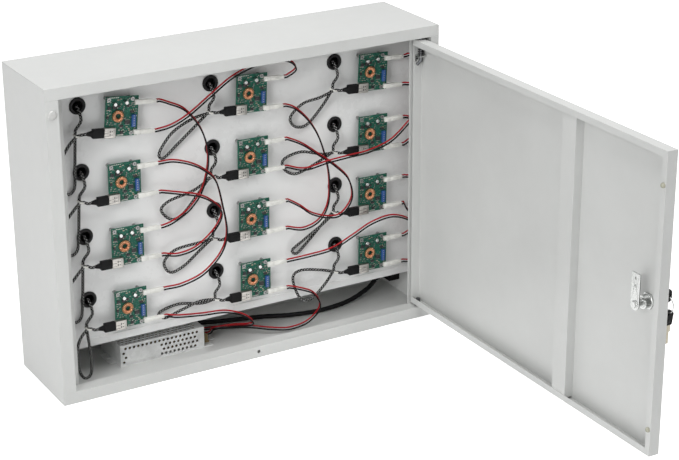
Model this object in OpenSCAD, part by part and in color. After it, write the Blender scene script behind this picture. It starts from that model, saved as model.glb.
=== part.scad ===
/* [Cabinet] */
// Width of the cabinet
cabinet_w = 600; // [590:1:640]
// Height of the cabinet
cabinet_h = 450; // [446:1:480]
// Depth of the cabinet
cabinet_d = 150; // [148:1:180]
// Thickness of the steel sheet
sheet = 1.2; // [1:0.1:1.4]
// Height of the flange above the service door
top_flange_h = 16.3; // [15:0.1:18]
// Height of the flange below the service door
bottom_flange_h = 17; // [15:0.1:18]
// Width of the flange on the lock side of the service opening
lock_flange_w = 18.8; // [16:0.1:19]
// Width of the flange on the hinge side of the service opening
hinge_flange_w = 13; // [12:0.1:14]
// Depth of the fold behind the service flanges
flange_return = 21.2; // [21:0.1:23]
// Width of the door stop on the lock side, from the cabinet's side
lock_stop_w = 31; // [29:0.1:33]
// Width of the door stop on the hinge side, from the cabinet's side
hinge_stop_w = 36; // [32:0.5:38]

/* [Phone bays] */
// Margin from the cabinet's side to the first bay
bay_margin = 5; // [4:0.5:7]
// Height of the lowest bay floor
bay_floor_z = 62.4; // [60:0.2:66]
// Gap from the highest bay to the top of the cabinet
bay_top_gap = 14; // [12:0.5:15]
// Height of the lip on the front of a bay shelf
shelf_lip = 18; // [16:0.5:20]
// Width of the lip on the front of a bay divider
divider_lip = 20; // [18:0.5:24]
// Depth of the fold behind the lips and flanges round the bays
lip_return = 14; // [12:0.5:15]
// Gap round a bay door
bay_door_gap = 1; // [0.8:0.1:1.4]
// Depth of the folded edge of a bay door
bay_door_t = 12; // [10:0.5:13]

/* [Service door] */
// Thickness of the service door
door_t = 15.5; // [14:0.1:16]
// Gap between the service door and the flange above it
door_top_gap = 4.7; // [4:0.1:6]
// Gap between the service door and the flange below it
door_bottom_gap = 3; // [2:0.1:4]
// Gap at the free edge of the service door
door_free_gap = 1.45; // [1.2:0.05:2]
// Distance from the door's pivot to the cabinet's side
pivot_inset = 25; // [24.8:0.1:26]
// Distance from the door's pivot to its hinge edge
hinge_reach = 8.75; // [8:0.05:8.9]
// Width of the inward lip along the door's edges
door_lip = 9; // [7:0.5:11]
// Width of the stiffener channel
stiffener_w = 29; // [24:1:36]
// Distance from the door's pivot to the middle of the stiffener
stiffener_at = 360; // [300:5:420]
// Diameter of the hinge bolt and of the lower hinge pin
bolt_d = 6; // [5:0.1:6.4]
// Travel of the sprung hinge bolt
bolt_travel = 12; // [11:0.5:13]
// Wire diameter of the hinge spring
spring_wire = 1; // [0.8:0.1:1.2]
// Length of the hinge spring at rest
spring_len = 19; // [18:0.5:20]
// Diameter of the clear buffers
buffer_d = 7; // [6:0.5:8]

/* [Locks] */
// Diameter of a lock barrel
barrel_d = 18; // [16:0.5:19]
// Distance from the service lock to the door's free edge
lock_inset = 35; // [33:1:38]
// Height of the service lock above the cabinet's underside
lock_z = 220; // [180:1:280]
// Length of the service lock's cam from its axis
cam_len = 42; // [38:1:44]
// Distance from a bay lock to its door's free edge
bay_lock_inset = 16; // [15:0.5:20]
// Length of a bay lock's cam from its axis
bay_cam_len = 24; // [22:0.5:25]
// Outer diameter of the key ring
ring_d = 24; // [20:1:28]

/* [Electronics] */
// Distance from the service face to the mounting panel
panel_y = 60; // [58:1:62]
// Height of the mounting panel's lower edge
panel_low_z = 50; // [48:1:52]
// Height of the hem along the panel's lower edge
hem_h = 11.5; // [9:0.5:14]
// Outer diameter of a cable grommet
grommet_d = 23.5; // [20:0.5:26]
// Distance from a bay's left side to its grommet
grommet_in = 63; // [60:1:66]
// Distance from a bay's top to its grommet
grommet_down = 35; // [33:1:38]
// Width of a charger board
board_w = 48; // [46:1:50]
// Height of a charger board
board_h = 55.5; // [54:0.5:57]
// Thickness of a charger board
board_t = 1.6; // [1:0.1:2]
// Length of a standoff between panel and board
standoff = 10; // [8:0.5:12]
// Outer diameter of a choke coil
choke_d = 17; // [14:0.5:18]
// Length of the power supply's cover
supply_l = 132; // [120:1:140]
// Depth of the power supply
supply_d = 70; // [64:1:72]
// Height of the power supply
supply_h = 32.5; // [30:0.5:36]
// Diameter of the vent holes in the power supply
vent_d = 4; // [3:0.1:4.6]
// Diameter of a braided USB lead
lead_d = 4.2; // [3.8:0.1:4.4]
// Diameter of one supply wire
wire_d = 2.3; // [1.9:0.1:2.5]

/* [Hidden] */
$fn = 48;

// Running clearance, on the radius, of every pin and plug in its hole
fit = 0.05;
// Small gap that keeps neighbouring pieces of different bodies apart
clear = 0.3;

// The origin is the middle of the cabinet's underside: +X to the right seen from
// the service side, +Y towards the phone side, +Z up
half_w = cabinet_w / 2;
service_y = -cabinet_d / 2;
phone_y = cabinet_d / 2;
inner_x = half_w - sheet;
ceiling_z = cabinet_h - sheet;

// Service opening
open_top_z = cabinet_h - top_flange_h;
open_low_z = bottom_flange_h;
stop_y = service_y + flange_return - sheet;
panel_front = service_y + panel_y;
panel_back = panel_front + sheet;

// Bays: column 0 is at the left, row 0 is the highest
cols = 3;
rows = 4;
bay_w = (cabinet_w - 2 * bay_margin) / cols;
bay_h = (cabinet_h - bay_top_gap - bay_floor_z) / rows;
function bay_left(c) = -half_w + bay_margin + c * bay_w;
function bay_low(r) = bay_floor_z + (rows - 1 - r) * bay_h;
side_lip = bay_margin + divider_lip / 2;
frame_top_z = cabinet_h - bay_top_gap - shelf_lip / 2;
frame_low_z = bay_floor_z - shelf_lip / 2;
bay_open_w = bay_w - divider_lip;
bay_open_h = bay_h - shelf_lip;

// Service door, in its own frame: the pivot is the origin, the door is closed,
// -x is towards the free edge and -y is outward
pivot_x = half_w - pivot_inset;
pivot_y = service_y + door_t / 2;
door_low_z = open_low_z + door_bottom_gap;
door_top_z = open_top_z - door_top_gap;
door_free = -(cabinet_w - pivot_inset - lock_flange_w - door_free_gap);
door_rest = 90;
skin_in = -door_t / 2 + sheet;
lip_in = door_t / 2 - sheet;
module hung() { translate([pivot_x, pivot_y, 0]) rotate([0, 0, door_rest]) children(); }

// Grommets and boards
function grommet_x(c) = bay_left(c) + grommet_in;
function grommet_z(r) = bay_low(r) + bay_h - grommet_down;
// Middle of a board from its grommet, right and down
board_right = 58;
board_down = 21;
board_y = panel_front - standoff - board_t;
// Clockwise lean of each board, row by row
board_lean = [[6, 3, 3], [1, 1, 2], [1, 1, 1], [1, 1, 1]];
module on_board(r, c) {
    translate([grommet_x(c) + board_right, board_y, grommet_z(r) - board_down])
        rotate([0, board_lean[r][c], 0]) children();
}
function lean(r, c, x, z) = let (a = board_lean[r][c], bx = grommet_x(c) + board_right,
    bz = grommet_z(r) - board_down) [bx + x * cos(a) + z * sin(a), bz - x * sin(a) + z * cos(a)];

// Connectors stand out of the board's right edge, upper (+1) and lower (-1)
connector_out = 25;
connector_in = 6;
connector_h = 6.5;
connector_t = 5;
connector_z = 19.5;
connector_drop = 3;
socket_w = 16;
socket_h = 14;
socket_t = 6.5;
plug_l = 17;
plug_w = 13;
plug_t = 7.5;
plug_taper = 8;
plug_z = -board_h / 2 + socket_h / 2;

function unit(v) = v / norm(v);
function len_to(p, i) = i == 0 ? 0 : norm(p[i] - p[i - 1]) + len_to(p, i - 1);

// Smooth curve through points, with about one step between its own points
function curve(p, step) = [for (i = [0 : len(p) - 2])
    let (a = p[max(i - 1, 0)], b = p[i], c = p[i + 1], d = p[min(i + 2, len(p) - 1)],
        n = max(1, round(norm(c - b) / step)))
    for (k = [0 : n - 1]) let (t = k / n)
        0.5 * (2 * b + (c - a) * t + (2 * a - 5 * b + 4 * c - d) * t * t
            + (3 * b - a - 3 * c + d) * t * t * t),
    p[len(p) - 1]];

// Round tube along points, its rings turned as little as possible
function tangents(p) = [for (i = [0 : len(p) - 1])
    unit(p[min(i + 1, len(p) - 1)] - p[max(i - 1, 0)])];
function side_of(t) = unit(cross(t, abs(t[2]) < 0.9 ? [0, 0, 1] : [1, 0, 0]));
function frames(t, i = 0, last = undef) = i == len(t) ? [] :
    let (n = is_undef(last) ? side_of(t[0]) : unit(last - (last * t[i]) * t[i]))
    concat([[n, cross(t[i], n)]], frames(t, i + 1, n));
module tube(p, r, sides) {
    t = tangents(p);
    f = frames(t);
    n = len(p);
    points = [for (i = [0 : n - 1]) for (s = [0 : sides - 1])
        let (a = 360 * s / sides) p[i] + r * (f[i][0] * cos(a) + f[i][1] * sin(a))];
    walls = [for (i = [0 : n - 2]) for (s = [0 : sides - 1])
        let (u = (s + 1) % sides, a = i * sides, b = a + sides)
        for (w = [0, 1]) w == 0 ? [a + s, b + u, a + u] : [a + s, b + s, b + u]];
    caps = [for (s = [1 : sides - 2]) for (w = [0, 1])
        w == 0 ? [0, s, s + 1] : [(n - 1) * sides, (n - 1) * sides + s + 1, (n - 1) * sides + s]];
    polyhedron(points, concat(walls, caps));
}

module box(low, high) { translate(low) cube(high - low); }
module along_y(x, z, y0, y1, d, n = 48) {
    translate([x, y1, z]) rotate([90, 0, 0]) cylinder(d = d, h = y1 - y0, $fn = n);
}
module along_z(x, y, z0, z1, d, n = 48) { translate([x, y, z0]) cylinder(d = d, h = z1 - z0, $fn = n); }

// Mains inlet in the right side
inlet_w = 27;
inlet_h = 20;
inlet_y = 38;
inlet_z = 30;
inlet_hole_deep = 3;
inlet_deep = 18;
inlet_back = inner_x - inlet_deep;
tab_l = 7;
tab_h = 6;
tab_pitch = 7;

// Cabinet shell
flange_hole_d = 5;
module top_panel() {
    color("gainsboro") difference() {
        union() {
            box([-half_w, service_y, ceiling_z], [half_w, phone_y, cabinet_h]);
            box([-half_w, service_y, open_top_z], [half_w, service_y + sheet, cabinet_h]);
            box([-inner_x, service_y, open_top_z],
                [inner_x, service_y + flange_return, open_top_z + sheet]);
            box([-half_w, phone_y - sheet, frame_top_z], [half_w, phone_y, cabinet_h]);
            box([-half_w + side_lip, phone_y - lip_return, frame_top_z],
                [half_w - side_lip, phone_y, frame_top_z + sheet]);
        }
        along_z(pivot_x, pivot_y, open_top_z - 1, open_top_z + sheet + 1, bolt_d + 2 * fit);
        for (c = [0 : cols - 1]) bay_pin_hole(0, c, 1);
    }
}

module bottom_panel() {
    color("gainsboro") difference() {
        union() {
            box([-half_w, service_y, 0], [half_w, phone_y, sheet]);
            box([-half_w, service_y, 0], [half_w, service_y + sheet, open_low_z]);
            box([-inner_x, service_y, open_low_z - sheet],
                [inner_x, service_y + flange_return, open_low_z]);
            box([-half_w, phone_y - sheet, 0], [half_w, phone_y, frame_low_z]);
        }
        along_z(pivot_x, pivot_y, open_low_z - sheet - 1, open_low_z + 1, bolt_d);
        along_y(0, bottom_flange_h / 2 + 0.7, service_y - 1, service_y + sheet + 1, flange_hole_d);
    }
}

// Sign -1 is the lock side at the left, +1 the hinge side at the right
module side_panel(sign, flange_w, stop_w) {
    color("gainsboro") scale_x(sign) union() {
        box([inner_x, service_y + sheet, sheet], [half_w, phone_y - sheet, ceiling_z]);
        box([half_w - flange_w, service_y, open_low_z], [half_w, service_y + sheet, open_top_z]);
        box([half_w - flange_w, service_y, open_low_z],
            [half_w - flange_w + sheet, stop_y + sheet, open_top_z]);
        box([half_w - stop_w, stop_y, open_low_z],
            [half_w - flange_w + sheet, stop_y + sheet, open_top_z]);
        box([half_w - side_lip, phone_y - sheet, frame_low_z], [half_w, phone_y, frame_top_z]);
    }
}
module scale_x(sign) { mirror([sign < 0 ? 1 : 0, 0, 0]) children(); }
module left_side_panel() { side_panel(-1, lock_flange_w, lock_stop_w); }
module right_side_panel() {
    difference() {
        union() {
            side_panel(1, hinge_flange_w, hinge_stop_w);
            color("gainsboro") for (r = [0 : rows - 1])
                box([half_w - side_lip, phone_y - lip_return, bay_low(r) + sheet / 2],
                    [half_w - side_lip + sheet, phone_y, bay_low(r) + bay_h - shelf_lip / 2]);
        }
        translate([half_w - inlet_hole_deep, inlet_y - inlet_w / 2, inlet_z - inlet_h / 2])
            cube([inlet_hole_deep + 1, inlet_w, inlet_h]);
    }
}

// Phone bays
pin_d = 4;
pin_in = 6;
pin_from_face = 4;
function bay_pin_x(c) = bay_left(c) + divider_lip / 2 + bay_door_gap + pin_in;
bay_pin_y = phone_y - pin_from_face;
// Hole for a bay hinge pin: side +1 is above the door, -1 below it
module bay_pin_hole(r, c, side) {
    z = side > 0 ? bay_low(r) + bay_h - shelf_lip / 2 : bay_low(r) + shelf_lip / 2;
    along_z(bay_pin_x(c), bay_pin_y, z - sheet - 1, z + sheet + 1, pin_d);
}
module bay_shelves() {
    color("silver") for (r = [0 : rows - 1]) difference() {
        union() {
            box([-inner_x, panel_back, bay_low(r) - sheet / 2],
                [inner_x, phone_y - sheet, bay_low(r) + sheet / 2]);
            box([-half_w + side_lip, phone_y - sheet, bay_low(r) - shelf_lip / 2],
                [half_w - side_lip, phone_y, bay_low(r) + shelf_lip / 2]);
            for (side = r == rows - 1 ? [1] : [-1, 1])
                box([-half_w + side_lip, phone_y - lip_return,
                    bay_low(r) + side * (shelf_lip / 2 - sheet / 2) - sheet / 2],
                    [half_w - side_lip, phone_y,
                    bay_low(r) + side * (shelf_lip / 2 - sheet / 2) + sheet / 2]);
        }
        for (c = [0 : cols - 1]) {
            bay_pin_hole(r, c, -1);
            if (r < rows - 1) bay_pin_hole(r + 1, c, 1);
        }
    }
}

module bay_dividers() {
    color("silver") for (c = [1 : cols - 1]) for (r = [0 : rows - 1]) {
        low = bay_low(r);
        roof = r == 0 ? ceiling_z : low + bay_h - sheet / 2;
        union() {
            box([bay_left(c) - sheet / 2, panel_back, low + sheet / 2],
                [bay_left(c) + sheet / 2, phone_y - lip_return, roof]);
            box([bay_left(c) - sheet / 2, phone_y - lip_return - sheet, low + shelf_lip / 2],
                [bay_left(c) + sheet / 2, phone_y, low + bay_h - shelf_lip / 2]);
            box([bay_left(c) - divider_lip / 2, phone_y - sheet, low + shelf_lip / 2],
                [bay_left(c) + divider_lip / 2, phone_y, low + bay_h - shelf_lip / 2]);
            box([bay_left(c) - divider_lip / 2, phone_y - lip_return, low + shelf_lip / 2],
                [bay_left(c) - divider_lip / 2 + sheet, phone_y, low + bay_h - shelf_lip / 2]);
        }
    }
}

// How far a bay hinge pin stands into the door
pin_reach = 4;
module hinge_pins() {
    color("dimgray") {
        for (r = [0 : rows - 1]) for (c = [0 : cols - 1]) for (side = [-1, 1]) {
            z = side > 0 ? bay_low(r) + bay_h - shelf_lip / 2 : bay_low(r) + shelf_lip / 2;
            low = side > 0 ? z - pin_reach : z - sheet;
            along_z(bay_pin_x(c), bay_pin_y, low, low + sheet + pin_reach, pin_d);
        }
        along_z(pivot_x, pivot_y, open_low_z - sheet, door_low_z + 8, bolt_d);
        difference() {
            along_z(pivot_x, pivot_y, open_low_z, door_low_z - clear, bolt_d + 5);
            along_z(pivot_x, pivot_y, open_low_z - 1, door_low_z + 1, bolt_d);
        }
    }
}

// A bay door in its closed place, with the barrel of its lock
module bay_door(r, c) {
    x0 = bay_left(c) + divider_lip / 2 + bay_door_gap;
    x1 = bay_left(c) + bay_w - divider_lip / 2 - bay_door_gap;
    z0 = bay_low(r) + shelf_lip / 2 + bay_door_gap;
    z1 = bay_low(r) + bay_h - shelf_lip / 2 - bay_door_gap;
    yi = phone_y - bay_door_t;
    lx = x1 - bay_lock_inset;
    lz = (z0 + z1) / 2;
    color("whitesmoke") difference() {
        box([x0, yi, z0], [x1, phone_y, z1]);
        box([x0 + sheet, yi - 1, z0 + sheet], [x1 - sheet, phone_y - sheet, z1 - sheet]);
        along_z(bay_pin_x(c), bay_pin_y, z0 - 1, z1 + 1, pin_d + 2 * fit);
        along_y(lx, lz, phone_y - bay_door_t, phone_y + 1, barrel_d);
    }
    color("silver") difference() {
        union() {
            along_y(lx, lz, phone_y - bay_barrel_l, phone_y, barrel_d);
            along_y(lx, lz, phone_y, phone_y + barrel_face, barrel_d + 4);
        }
        along_y(lx, lz, phone_y - bay_barrel_l - 1, phone_y + barrel_face + 1, plug_d + 2 * fit);
    }
}
barrel_face = 2;
plug_d = 12;
bay_barrel_l = 16;
bay_keyway_deep = 3;
bay_keyway_h = 7;
bay_cam_w = 14;
cam_t = 2;
cam_screw_d = 6;
// Plug and cam of a bay lock: the cam points down when it is open
module bay_lock(r, c) {
    lx = bay_left(c) + bay_w - divider_lip / 2 - bay_door_gap - bay_lock_inset;
    lz = bay_low(r) + bay_h / 2;
    back = phone_y - bay_barrel_l;
    color("silver") union() {
        difference() {
            along_y(lx, lz, back - 1, phone_y + barrel_face, plug_d);
            box([lx - keyway_w / 2, phone_y + barrel_face - bay_keyway_deep, lz - bay_keyway_h / 2],
                [lx + keyway_w / 2, phone_y + barrel_face + 1, lz + bay_keyway_h / 2]);
        }
        along_y(lx, lz, back - 5, back - 1, cam_screw_d);
        box([lx - bay_cam_w / 2, back - 1 - cam_t, lz - bay_cam_len],
            [lx + bay_cam_w / 2, back - 1, lz]);
        along_y(lx, lz, back - 1 - cam_t, back - 1, bay_cam_w);
    }
}

// Mounting panel and what it carries
module mounting_panel() {
    color("silver") difference() {
        union() {
            box([-inner_x, panel_front, panel_low_z], [inner_x, panel_back, ceiling_z]);
            box([-inner_x, panel_front - sheet, panel_low_z],
                [inner_x, panel_back, panel_low_z + hem_h]);
        }
        for (r = [0 : rows - 1]) for (c = [0 : cols - 1])
            along_y(grommet_x(c), grommet_z(r), panel_front - 1, panel_back + 1, grommet_d - 4);
    }
}

grommet_bore = grommet_d - 9;
grommet_lip = 2.4;
module cable_grommets() {
    color("black") for (r = [0 : rows - 1]) for (c = [0 : cols - 1])
        translate([grommet_x(c), panel_front - grommet_lip, grommet_z(r)]) rotate([-90, 0, 0])
            rotate_extrude($fn = 40) polygon([[grommet_bore / 2, 0.8], [grommet_bore / 2 + 1, 0],
                [grommet_d / 2 - 1, 0], [grommet_d / 2, 1], [grommet_d / 2, grommet_lip],
                [grommet_d / 2 - 2, grommet_lip], [grommet_d / 2 - 2, grommet_lip + sheet],
                [grommet_d / 2, grommet_lip + sheet], [grommet_d / 2, grommet_lip + sheet + 1.5],
                [grommet_bore / 2, grommet_lip + sheet + 1.5]]);
}

// Screws stand this far in from the board's edges, and those at the right further in
screw_in = 4;
screw_right_in = 9.5;
screw_head_d = 5.5;
screw_head_h = 1.8;
standoff_d = 5;
module board_standoffs() {
    color("silver") for (r = [0 : rows - 1]) for (c = [0 : cols - 1]) on_board(r, c)
        for (x = [-1, 1]) for (z = [-1, 1]) if (x > 0 || z > 0) {
            sx = x * (board_w / 2 - (x > 0 ? screw_right_in : screw_in));
            sz = z * (board_h / 2 - screw_in);
            along_y(sx, sz, board_t, board_t + standoff, standoff_d, 20);
            along_y(sx, sz, -screw_head_h, 0, screw_head_d, 20);
        }
}

module charger_boards() {
    color("seagreen") for (r = [0 : rows - 1]) for (c = [0 : cols - 1]) on_board(r, c)
        box([-board_w / 2, 0, -board_h / 2], [board_w / 2, board_t, board_h / 2]);
}

// Parts soldered to a board. A block is its low corner across and up from the board's
// middle, its width, its height and how far it stands out; a capacitor is its middle and
// how far it stands out
choke_hole = 7;
choke_wall = (choke_d - choke_hole) / 2;
choke_left = 6;
choke_up = 1;
chip = [5, -11, 7, 5, 1.8];
terminal_block = [14.5, -15, 5.5, 17, 4];
coil_block = [-14, 10.5, 6, 4.5, 2];
crystal = [7, 4, 4, 6, 2.5];
capacitors = [[-12, 18, 6], [4, 20, 7]];
capacitor_d = 5;
module block(b) { box([b[0], -b[4], b[1]], [b[0] + b[2], 0, b[1] + b[3]]); }
module board_components() {
    for (r = [0 : rows - 1]) for (c = [0 : cols - 1]) on_board(r, c) {
        color("peru") translate([-choke_left, -choke_wall, choke_up]) rotate([-90, 0, 0])
            rotate_extrude($fn = 24) translate([(choke_d + choke_hole) / 4, choke_wall / 2])
                circle(d = choke_wall, $fn = 16);
        color("black") block(chip);
        color("navy") block(terminal_block);
        color("black") block(coil_block);
        color("silver") block(crystal);
        color("white") for (p = capacitors) along_y(p[0], p[1], -p[2], 0, capacitor_d, 20);
    }
}

module connector(side) {
    z = side * connector_z - (side > 0 ? 0 : connector_drop);
    box([board_w / 2 - connector_in, -connector_t, z - connector_h / 2],
        [board_w / 2 + connector_out, 0, z + connector_h / 2]);
}
module power_connectors() {
    color("ivory") for (r = [0 : rows - 1]) for (c = [0 : cols - 1]) on_board(r, c)
        for (side = [-1, 1]) connector(side);
}

// A socket overhangs its board's left edge, and is folded from thin metal
socket_over = 2;
socket_wall = 0.6;
socket_left = -board_w / 2 - socket_over;
module usb_sockets() {
    color("lightgray") for (r = [0 : rows - 1]) for (c = [0 : cols - 1]) on_board(r, c)
        difference() {
            box([socket_left, -socket_t, -board_h / 2],
                [socket_left + socket_w, 0, -board_h / 2 + socket_h]);
            box([socket_left - 1, -socket_t + socket_wall, -board_h / 2 + socket_wall],
                [socket_left + socket_w - 1, -socket_wall, -board_h / 2 + socket_h - socket_wall]);
        }
}

// USB plugs: metal tongue in the socket, black body tapering to the lead
plug_x = socket_left - clear;
tongue_l = 12;
tongue_w = 11.6;
tongue_t = 4.1;
tail_scale = 0.42;
module usb_plugs() {
    for (r = [0 : rows - 1]) for (c = [0 : cols - 1]) on_board(r, c) {
        color("black") translate([plug_x, -socket_t / 2, plug_z]) {
            box([-plug_l, -plug_t / 2, -plug_w / 2], [0, plug_t / 2, plug_w / 2]);
            translate([-plug_l, 0, 0]) rotate([0, -90, 0])
                linear_extrude(plug_taper, scale = tail_scale)
                    square([plug_w, plug_t], center = true);
        }
        color("silver") translate([plug_x, -socket_t / 2, plug_z])
            box([0, -tongue_t / 2, -tongue_w / 2], [tongue_l, tongue_t / 2, tongue_w / 2]);
    }
}

// Where a lead leaves its plug
function plug_end(r, c) = let (q = lean(r, c, plug_x - plug_l - plug_taper, plug_z))
    [q[0], board_y - socket_t / 2, q[1]];
// Where a lead's slack is tied, from its grommet
tie_left = 8;
tie_down = 37.5;
tie_y = panel_front - 12;
function tie(r, c) = [grommet_x(c) - tie_left, tie_y, grommet_z(r) - tie_down];

// Slack of each lead, as points across and up from its tie, and out from the panel
slack = [
    [[[-14, -5, -10], [-25, 0, -34], [-25, 5, -62], [-16, 8, -82], [-5, 7, -76], [-3, 5, -46]],
     [[-30, -4, -4], [-58, 0, -20], [-76, 4, -46], [-70, 6, -56], [-48, 6, -40], [-18, 2, -14]],
     [[-24, -4, -6], [-50, 0, -12], [-68, 4, -30], [-60, 6, -46], [-40, 6, -46], [-16, 2, -20]]],
    [[[-14, -5, -10], [-26, 0, -30], [-27, 5, -58], [-18, 8, -77], [-6, 7, -72], [-3, 5, -44]],
     [[-30, -4, -14], [-66, 0, -24], [-77, 4, -37], [-62, 6, -54], [-44, 6, -50], [-20, 2, -22]],
     [[-22, -4, 2], [-54, 0, 10], [-80, 4, 2], [-78, 6, -14], [-58, 6, -24], [-22, 2, -10]]],
    [[[-14, -5, -10], [-25, 0, -30], [-26, 5, -60], [-17, 8, -83], [-6, 7, -78], [-3, 5, -46]],
     [[-24, -4, 0], [-60, 0, -5], [-76, 4, -22], [-66, 6, -40], [-44, 6, -34], [-18, 2, -12]],
     [[-24, -4, -14], [-50, 0, -32], [-68, 4, -46], [-60, 6, -54], [-40, 6, -38], [-18, 2, -14]]],
    [[[-13, -5, -9], [-20, -6, -27], [-20, -8, -54], [-13, -9, -69], [-3, -8, -66], [0, -6, -44]],
     [[-26, -4, 4], [-56, -2, -4], [-80, 2, -12], [-86, 6, -4], [-56, 7, 2], [-20, 5, -4]],
     [[-28, -4, 10], [-58, 0, 14], [-68, 4, 2], [-62, -4, -26], [-46, -8, -32], [-20, -4, -16]]]];

// Route of a lead: plug, tie, slack, tie, grommet, then down to the floor of its bay
grip = lead_d / 2 + 0.3;
function lead_route(r, c) = let (e = plug_end(r, c), t = tie(r, c), s = slack[r][c],
    g = [grommet_x(c), 0, grommet_z(r)], f = bay_low(r) + sheet / 2 + lead_d / 2 + 0.3)
    concat([e, e - [5, 0, 0], t + [0, -grip, 0]],
        [for (p = s) t + p],
        [t + [-1, grip, 0], t + [1, grip, 9], g + [1, panel_front - 9, -18],
         g + [0, panel_front - 2, -3], g + [0, panel_back + 3, -1],
         g + [1, panel_back + 8, -8], g + [4, panel_back + 9, -26],
         [g[0] + 14, panel_back + 9, f + 6], [g[0] + 32, panel_back + 9, f],
         [g[0] + phone_end_x, panel_back + 9, f]]);
// How far right of its grommet a lead's phone plug lies
phone_end_x = 56;
phone_plug_l = 16;
phone_plug_w = 9;
phone_tip_l = 6;
phone_tip_w = 7;
lead_step = 17;
module usb_leads() {
    color("dimgray") for (r = [0 : rows - 1]) for (c = [0 : cols - 1])
        tube(curve(lead_route(r, c), lead_step), lead_d / 2, 8);
}
module phone_plugs() {
    color("black") for (r = [0 : rows - 1]) for (c = [0 : cols - 1])
        translate([grommet_x(c) + phone_end_x, panel_back + 9,
            bay_low(r) + sheet / 2 + lead_d / 2 + 0.3]) {
            box([0, -phone_plug_w / 2, -lead_d / 2], [phone_plug_l, phone_plug_w / 2, 3.5]);
            box([phone_plug_l, -phone_tip_w / 2, -1],
                [phone_plug_l + phone_tip_l, phone_tip_w / 2, 1.4]);
        }
}
tie_w = 2.6;
tie_t = 0.8;
tie_slack = 0.4;
tie_lean = 20;
module cable_ties() {
    color("white") for (r = [0 : rows - 1]) for (c = [0 : cols - 1]) translate(tie(r, c))
        rotate([0, tie_lean, 0]) difference() {
            box([-lead_d / 2 - tie_slack - tie_t, -2 * grip - tie_slack - tie_t, -tie_w / 2],
                [lead_d / 2 + tie_slack + tie_t, 2 * grip + tie_slack + tie_t, tie_w / 2]);
            box([-lead_d / 2 - tie_slack, -2 * grip - tie_slack, -tie_w],
                [lead_d / 2 + tie_slack, 2 * grip + tie_slack, tie_w]);
        }
}

// End of a power connector, and the supply wires that run from one to the next
function connector_end(r, c, side) = let (z = side * connector_z - (side > 0 ? 0 : connector_drop),
    q = lean(r, c, board_w / 2 + connector_out, z)) [q[0], board_y - connector_t / 2, q[1]];
// The wires' routes are given for this size of bay and this floor height, and follow the
// bays when those change
routed_bay_w = 196.67;
routed_bay_h = 93.4;
routed_floor_z = 62.4;
function routed_x(x) = x * bay_w / routed_bay_w;
function routed_z(z) = bay_floor_z + (z - routed_floor_z) * bay_h / routed_bay_h;
// Each run: row, column and side of its two connectors, how far it stands out in front
// of them, and points [x, z] between them
wire_y = board_y - connector_t / 2;
runs = [
    [[0, 0, 1], [2, 0, 1], 9, [[-108, 390], [-85, 377], [-62, 345], [-53, 305], [-62, 262],
        [-82, 235], [-106, 218]]],
    [[0, 0, -1], [0, 1, 1], 14, [[-105, 358], [-83, 371], [-50, 392], [-12, 415], [35, 428],
        [72, 424], [88, 408]]],
    [[0, 1, -1], [2, 1, -1], 9, [[88, 349], [106, 330], [122, 303], [133, 270], [139, 236],
        [137, 199], [122, 175], [98, 165]]],
    [[1, 1, 1], [2, 1, 1], 14, [[97, 295], [120, 277], [145, 257], [168, 232], [174, 202],
        [157, 180], [135, 179], [107, 190], [92, 202]]],
    [[1, 1, -1], [0, 2, -1], 20, [[99, 258], [130, 266], [165, 268], [200, 270], [235, 279],
        [264, 300], [286, 322], [290, 340], [288, 351], [280, 355]]],
    [[1, 0, 1], [3, 0, 1], 14, [[-105, 307], [-83, 301], [-62, 288], [-45, 269], [-36, 233],
        [-30, 190], [-40, 160], [-68, 135], [-98, 122]]],
    [[1, 0, -1], [2, 0, -1], 18, [[-98, 259], [-74, 254], [-52, 240], [-39, 221], [-52, 198],
        [-80, 178], [-104, 169]]],
    [[2, 2, -1], [3, 2, 1], 4, [[276, 160], [288, 146], [284, 126]]],
    [[0, 2, 1], [1, 2, -1], 9, [[280, 398], [291, 380], [294, 340], [293, 300], [286, 275]]],
    [[1, 2, 1], [2, 2, 1], 14, [[280, 300], [289, 270], [291, 240], [284, 214]]],
    [[3, 1, 1], [3, 2, -1], 18, [[106, 123], [139, 130], [173, 143], [207, 157], [245, 160],
        [280, 140], [292, 100], [286, 78]]]];
// Runs from the two ends of the chain to the power supply
supply_x = -185;
supply_y = -6;
supply_right = supply_x + supply_l;
feeds = [
    [[3, 0, -1], [[-106, wire_y - 6, 74], [-70, wire_y - 9, 70], [-30, wire_y - 4, 63],
        [0, wire_y - 6, 50], [12, wire_y - 4, 34], [-5, 0, 22], [-28, 12, 18]]],
    [[3, 1, -1], [[94, wire_y - 9, 72], [111, wire_y - 12, 62], [118, wire_y - 16, 42],
        [104, wire_y - 6, 18], [78, -25, 8], [50, -14, 10], [20, 2, 14], [-20, 16, 16]]]];
terminal_z = 15;
// How far the terminals stand out of the supply's cover
terminal_out = 9;
// The two wires of a run lie side by side, a little apart
function beside(lift) = lift * wire_d * [0, 0.55, 0.6];
function wire_route(run, lift) = let (a = connector_end(run[0][0], run[0][1], run[0][2]),
    b = connector_end(run[1][0], run[1][1], run[1][2]), d = beside(lift), n = len(run[3]))
    concat([a + d, a + [4, 0, 0] + d],
        [for (i = [0 : n - 1]) let (out = run[2] * (i == 0 || i == n - 1 ? 0.5 : 1))
            [routed_x(run[3][i][0]), wire_y - out, routed_z(run[3][i][1])] + d],
        [b + [4, 0, 0] + d, b + d]);
function feed_route(i, lift) = let (f = feeds[i], a = connector_end(f[0][0], f[0][1], f[0][2]),
    d = beside(lift), y = supply_y + 14 + 16 * i)
    concat([a + d, a + [4, 0, 0] + d], [for (p = f[1]) [routed_x(p[0]), p[1], p[2]] + d],
        [[supply_right + terminal_out + 7, y + lift * 3, terminal_z],
         [supply_right + terminal_out - 0.5, y + lift * 4, terminal_z]]);
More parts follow.
